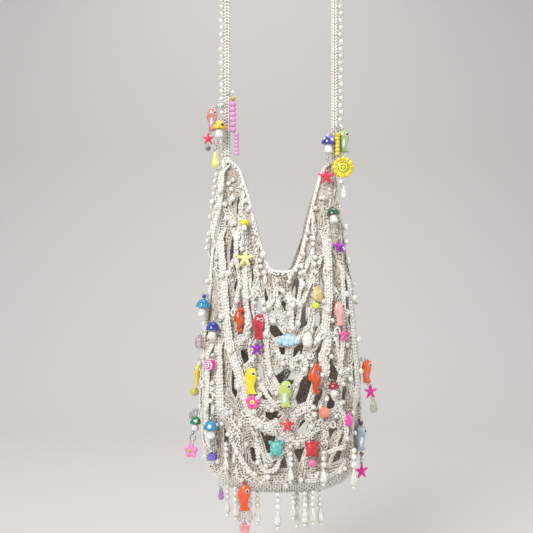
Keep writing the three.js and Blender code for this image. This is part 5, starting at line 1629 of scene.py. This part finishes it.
def hang_string(name, frame_of, pendants):
    """Makes one string of pendants with its links and small beads, and hangs it where its CAD node is."""
    place, right, back, up, hook = frame_of
    axes = Matrix(np.stack((right, back, up), 1).tolist()).to_4x4()
    world = Matrix.Translation(Vector(place)) @ axes
    form = bmesh.new()
    palette = []
    low = 0.0
    last = world.inverted() @ Vector(hook)
    for i, (kind, size, link, aside, out, *colours) in enumerate(pendants):
        tall, thick, held, make = KINDS[kind]
        top = low - (link * LINK if i else 0)
        middle = Vector((aside * LINK, -CLEARANCE - out * LINK, top - tall * size / 2))
        pendant = bmesh.new()
        make(pendant, palette, *colours)
        bmesh.ops.scale(pendant, vec=(size, size, size), verts=pendant.verts)
        bmesh.ops.translate(pendant, vec=middle, verts=pendant.verts)
        finished = bpy.data.meshes.new("pendant")
        pendant.to_mesh(finished)
        pendant.free()
        form.from_mesh(finished)
        bpy.data.meshes.remove(finished)
        at_top = Vector((middle.x, middle.y - thick * size / 2, top - (held - 0.12) * tall * size))
        if kind != "pearls" or (last - at_top).length > 1:
            add_links(form, palette, last, at_top)
        for over, lift, wide, code in SMALL_BEADS.get(name, []):
            if over == i:
                add_ball(form, palette, finish("glaze", code) if code else SILVER,
                         (middle.x, at_top.y, top + lift), (wide, wide, wide * 0.85), around=12, rings=8)
        low = top - tall * size
        last = Vector((middle.x, middle.y - thick * size / 2, low + (held - 0.1) * tall * size))
    bmesh.ops.recalc_face_normals(form, faces=form.faces)
    to_frame = Matrix.Scale(MM, 4) @ Matrix.Translation((0, 0, -BAG_DROP))
    bmesh.ops.transform(form, matrix=to_frame @ world, verts=form.verts)
    mesh = bpy.data.meshes.new(name)
    form.to_mesh(mesh)
    form.free()
    piece = new_piece(name + "_charm", mesh, *palette)
    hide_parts(name)
    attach(piece, "root")


# Charms on the net: turn, height share of the first pendant's top, links out, the turn that a clear string
# faces, the slot, and the pendants. A pendant has its kind, size, links of wire above it, links to the right and
# outwards, its colour, and its second colour or its pattern.
WALL_CHARMS = {
    "mushroom_yellow": (-27, 0.8, 0, None, "glaze_yellow", [
        ("mushroom", 0.75, 0, 0, 0, "d9d01e", None), ("star", 1.15, 5, 0.8, 0, "e4db80", "efe9b0")]),
    "mushroom_green": (43, 0.835, 0, None, "glaze_green", [
        ("mushroom", 1, 0, 0, 0, "12502c", None), ("star", 1, 4, 1.2, 0, "8e22a0", "b04cc0")]),
    "drop_red": (-116, 0.74, 0, None, "glaze_red", [("drop", 1.6, 0, 0, 0, "c4161f", None)]),
    "mushroom_teal": (-68, 0.565, 0.2, None, "glaze_teal", [("mushroom", 1.1, 0, 0, 0, "1b83b0", None)]),
    "mushroom_cobalt": (-50, 0.5, 0, None, "glaze_cobalt", [("mushroom", 1.05, 0, 0, 0, "1b2a96", None)]),
    "bead_fluted": (-78, 0.455, 0.2, None, "clear_glass", [("fluted", 1, 0, 0, 0, "d8c2cc", "ece2e6")]),
    "seahorse_left": (-27, 0.55, 0, None, "glaze_orange", [("seahorse", 0.95, 0, 0, 0, "e0561a", "c23c12")]),
    "fish_red": (-12, 0.525, 0, None, "glaze_red", [
        ("fish", 0.95, 0, 0, 0, "b81c2c", "cc3a48"), ("star", 0.95, 0.2, -0.4, 0.6, "7d1f96", "9c3cb4")]),
    "shell_tan": (22, 0.605, 0, None, "shell", [
        ("shell", 1, 0, 0, 0, "c8aa70", "e2cf9c"), ("bead", 1.1, 0.1, -0.8, 0, "d8f01c", "e2f44a")]),
    "fish_pink": (41, 0.56, 0, None, "glaze_pink", [
        ("fish", 0.95, 0, 0, 0, "e09490", "eeb8b0"), ("star", 0.95, 0.3, 1, 0, "ee4a9a", "f478b4")]),
    "cloud_blue": (2, 0.47, 0, None, "glaze_sky", [("cloud", 1, 0, 0, 0, "a6cce2", "c6e0ee")]),
    "shell_white": (13, 0.475, 0, None, "shell", [("shell", 0.95, 0, 0, 0, "dcdad2", "ebeae4")]),
    "bead_swirl": (-50, 0.395, 0, None, "glaze_magenta", [("bead", 2, 0, 0, 0, "d02a90", "swirl")]),
    "fish_yellow_side": (-84, 0.365, 0.3, None, "glaze_yellow", [
        ("fish", 0.95, 0, 0, 0, "e8d010", "f0de3c"), ("bead", 1.5, 0.1, 0, 0, "b9b040", "cfc868")]),
    "fish_yellow": (-16, 0.375, 0, None, "glaze_yellow", [
        ("fish", 1, 0, 0, 0, "ead510", "f2e040"), ("flower", 1, 0.2, 0.4, 0, "f0509c", "e2dc34")]),
    "fish_lime": (1, 0.34, 0, None, "glaze_lime", [
        ("fish", 1, 0, 0, 0, "b4ca60", "c4d67c", "cfe4ec"), ("star", 0.9, 2.6, 0.4, 0, "d83040", "e65464")]),
    "seahorse_right": (17, 0.39, 0, None, "glaze_orange", [("seahorse", 1.1, 0, 0, 0, "ec5a1c", "c8420f")]),
    "mushroom_red": (30, 0.335, 0, None, "glaze_red", [("mushroom", 0.85, 0, 0, 0, "84101e", None)]),
    "bead_salmon": (23, 0.265, 0, None, "glaze_pink", [("bead", 1.6, 0, 0, 0, "ee8470", "ruffled")]),
    "fish_orange": (83, 0.38, 1.5, 25, "glaze_orange", [
        ("fish", 0.95, 0, 0, 0, "e8581a", "f07030", "e06a60"), ("star", 1, 0.3, 1.4, 0, "e6149a", "ef44b0"),
        ("shell", 0.8, 0.5, 2.4, 0, "b9b0a2", "cfc8bc")]),
    "drop_pink": (45, 0.245, 0, None, "glaze_magenta", [("drop", 1.1, 0, 0, 0, "ee2ca0", None)]),
    "mushroom_emerald": (-85, 0.205, 1.6, -20, "glaze_green", [
        ("hoop", 1, 0, 0, 0, "cfc4cc", "e8e2e8"), ("mushroom", 0.9, 0, 0, -1.6, "1f7c3c", "eef4ea"),
        ("ring", 1, 1, -0.6, 0, "c0c0c0", None),
        ("flower", 1.11, 0.6, -1, 0, "ec84c4", "b4b23c")]),
    "mushroom_aqua": (-47, 0.22, 0, None, "glaze_teal", [
        ("mushroom", 1.1, 0, 0, 0, "1d83a4", "e4f0f4"), ("cube", 0.75, 4, -0.4, 0, "6448c0", "8670dc")]),
    "turtle_turquoise": (-2, 0.175, 0, None, "glaze_teal", [("turtle", 1, 0, 0, 0, "5cb4a8", "86ccc2")]),
    "turtle_red": (15, 0.17, 0, None, "glaze_red", [
        ("turtle", 0.95, 0, 0, 0, "c42430", "d8444a"), ("bead", 1.2, 0.2, 0, 0, "f468a8", "f88cbc")]),
    "fish_grey": (70, 0.19, -0.2, 30, "glaze_grey", [
        ("fish", 1, 0, 0, 0, "8f9dac", "a8b6c6", "d6e2f0"), ("star", 1.05, 3.4, 0.4, 0, "e818a0", "f04cb4")]),
    "tassel_front_1": (-35, 0.16, 0, None, "pearl", [("pearls", 0.9, 0, 0, 0, "", None)]),
    "tassel_front_2": (3, 0.14, 0, None, "pearl", [("pearls", 0.9, 0, 0, 0, "", None)]),
    "tassel_front_3": (23, 0.14, 0, None, "pearl", [("pearls", 1, 0, 0, 0, "", None)]),
    "tassel_front_4": (52, 0.135, 0, None, "pearl", [("pearls", 1.2, 0, 0, 0, "", None)]),
    "starfish_back": (172, 0.5, 0, None, "glaze_magenta", [("star", 1, 0, 0, 0, "c2388a", "d864aa")]),
    "fish_back": (205, 0.42, 0, None, "glaze_orange", [("fish", 1, 0, 0, 0, "e2601e", "f08040")]),
    "mushroom_back": (145, 0.34, 0, None, "glaze_cobalt", [("mushroom", 1, 0, 0, 0, "1b2a96", None)]),
}
for name, (turn, height, out, faces, slot, pendants) in WALL_CHARMS.items():
    hang_string(name, on_wall(turn, height, out, faces), pendants)

# Charms on the strap: the left or right run, height share above the peaks, links beside it, slot and pendants
STRAP_CHARMS = {
    "fish_iridescent": (-1, 0.153, -4, "glaze_pink", [
        ("fish", 0.95, 0, 0, 0, "c87e78", "d8a8a4", "d8bcd6"),
        ("star", 0.85, 0.3, -1.2, 0, "d81f44", "e84868"), ("bead", 0.9, 0.1, -1.2, 0, "5a5560", "8a8590")]),
    "mushroom_strap_yellow": (-1, 0.11, -2, "glaze_yellow", [
        ("mushroom", 1.1, 0, 0, 1, "dcb60c", "2a220e"), ("drop", 1.35, 3.2, -1.2, 0, "e4da84", None)]),
    "bead_row_pink": (-1, 0.19, 1.6, "glaze_pink", [
        ("bead", 0.9, 0, 0, 0, "c8a040", "d8b868"), ("bead_row", 1, 0.1, 0, 0, "dc94cc", "e8acdc"),
        ("bead_row", 0.75, 0.1, 1, 0, "dc94cc", "e8acdc")]),
    "mushroom_strap_cobalt": (1, 0.067, -1.93, "glaze_cobalt", [
        ("mushroom", 1.15, 0, 0, 0, "1c1c92", "dfe6f4"), ("star", 1.1, 4.3, -0.7, 3.9, "dc2440", "ec4c60")]),
    "fish_green": (1, 0.086, 2.5, "clear_glass", [("fish", 0.95, 0, 0, 0, "86a468", "a6c088", "c4dcd0")]),
    "bead_row_yellow": (1, 0.073, 0.53, "glaze_yellow", [
        ("bead_row", 0.75, 0, 0, 1.8, "e8cc10", "f0da38"), ("rosette", 1, 0.1, 1.4, 2.5, "e8cc10", "e6de40"),
        ("bead", 0.85, 0.1, 0.8, 2.5, "e6dfd2", "f2eee6"), ("drop", 1, 0.3, 1.6, 2.5, "e2dfd8", None)]),
}
for name, (side, above, beside, slot, pendants) in STRAP_CHARMS.items():
    hang_string(name, on_strap(side, above, beside), pendants)

# Strings under the base, and the row of pearl tassels under its front edge: shares of the half width and of the
# half depth, and the slot and pendants, or the tassel's size
BASE_CHARMS = {
    "fish_base": (-0.44, -0.84, "glaze_orange", [
        ("fish", 1, 0, 0, 0, "ec4a12", "f0641e"), ("cube", 0.9, 3.3, 0, 0, "e8808a", "f4b4b4")]),
    "crystal_lilac": (-0.74, -0.3, "clear_glass", [("drop", 1, 0, 0, 0, "c8a4d4", "glass")]),
}
for name, (across, back, slot, pendants) in BASE_CHARMS.items():
    hang_string(name, under_base(across, back, pendants[0][0], pendants[0][1]), pendants)
TASSELS = [
    (-0.65, -0.62, 0.93), (-0.55, -0.7, 0.97), (-0.5, -0.58, 0.97), (-0.385, -0.62, 0.93),
    (-0.29, -0.66, 0.95), (-0.05, -0.72, 1.08), (0.13, -0.76, 0.8), (0.18, -0.64, 1), (0.27, -0.74, 1.02),
    (0.315, -0.58, 1), (0.37, -0.72, 1), (0.46, -0.6, 1),
]
for number, (across, back, size) in enumerate(TASSELS, 1):
    hook = underside(across, back) - (0, 0, CLEARANCE)
    place = hook + (0, 2.5 * size + CLEARANCE, 0)
    hang_string(f"tassel_{number}", (place, *np.eye(3), hook), [("pearls", size, 0, 0, 0, "", None)])
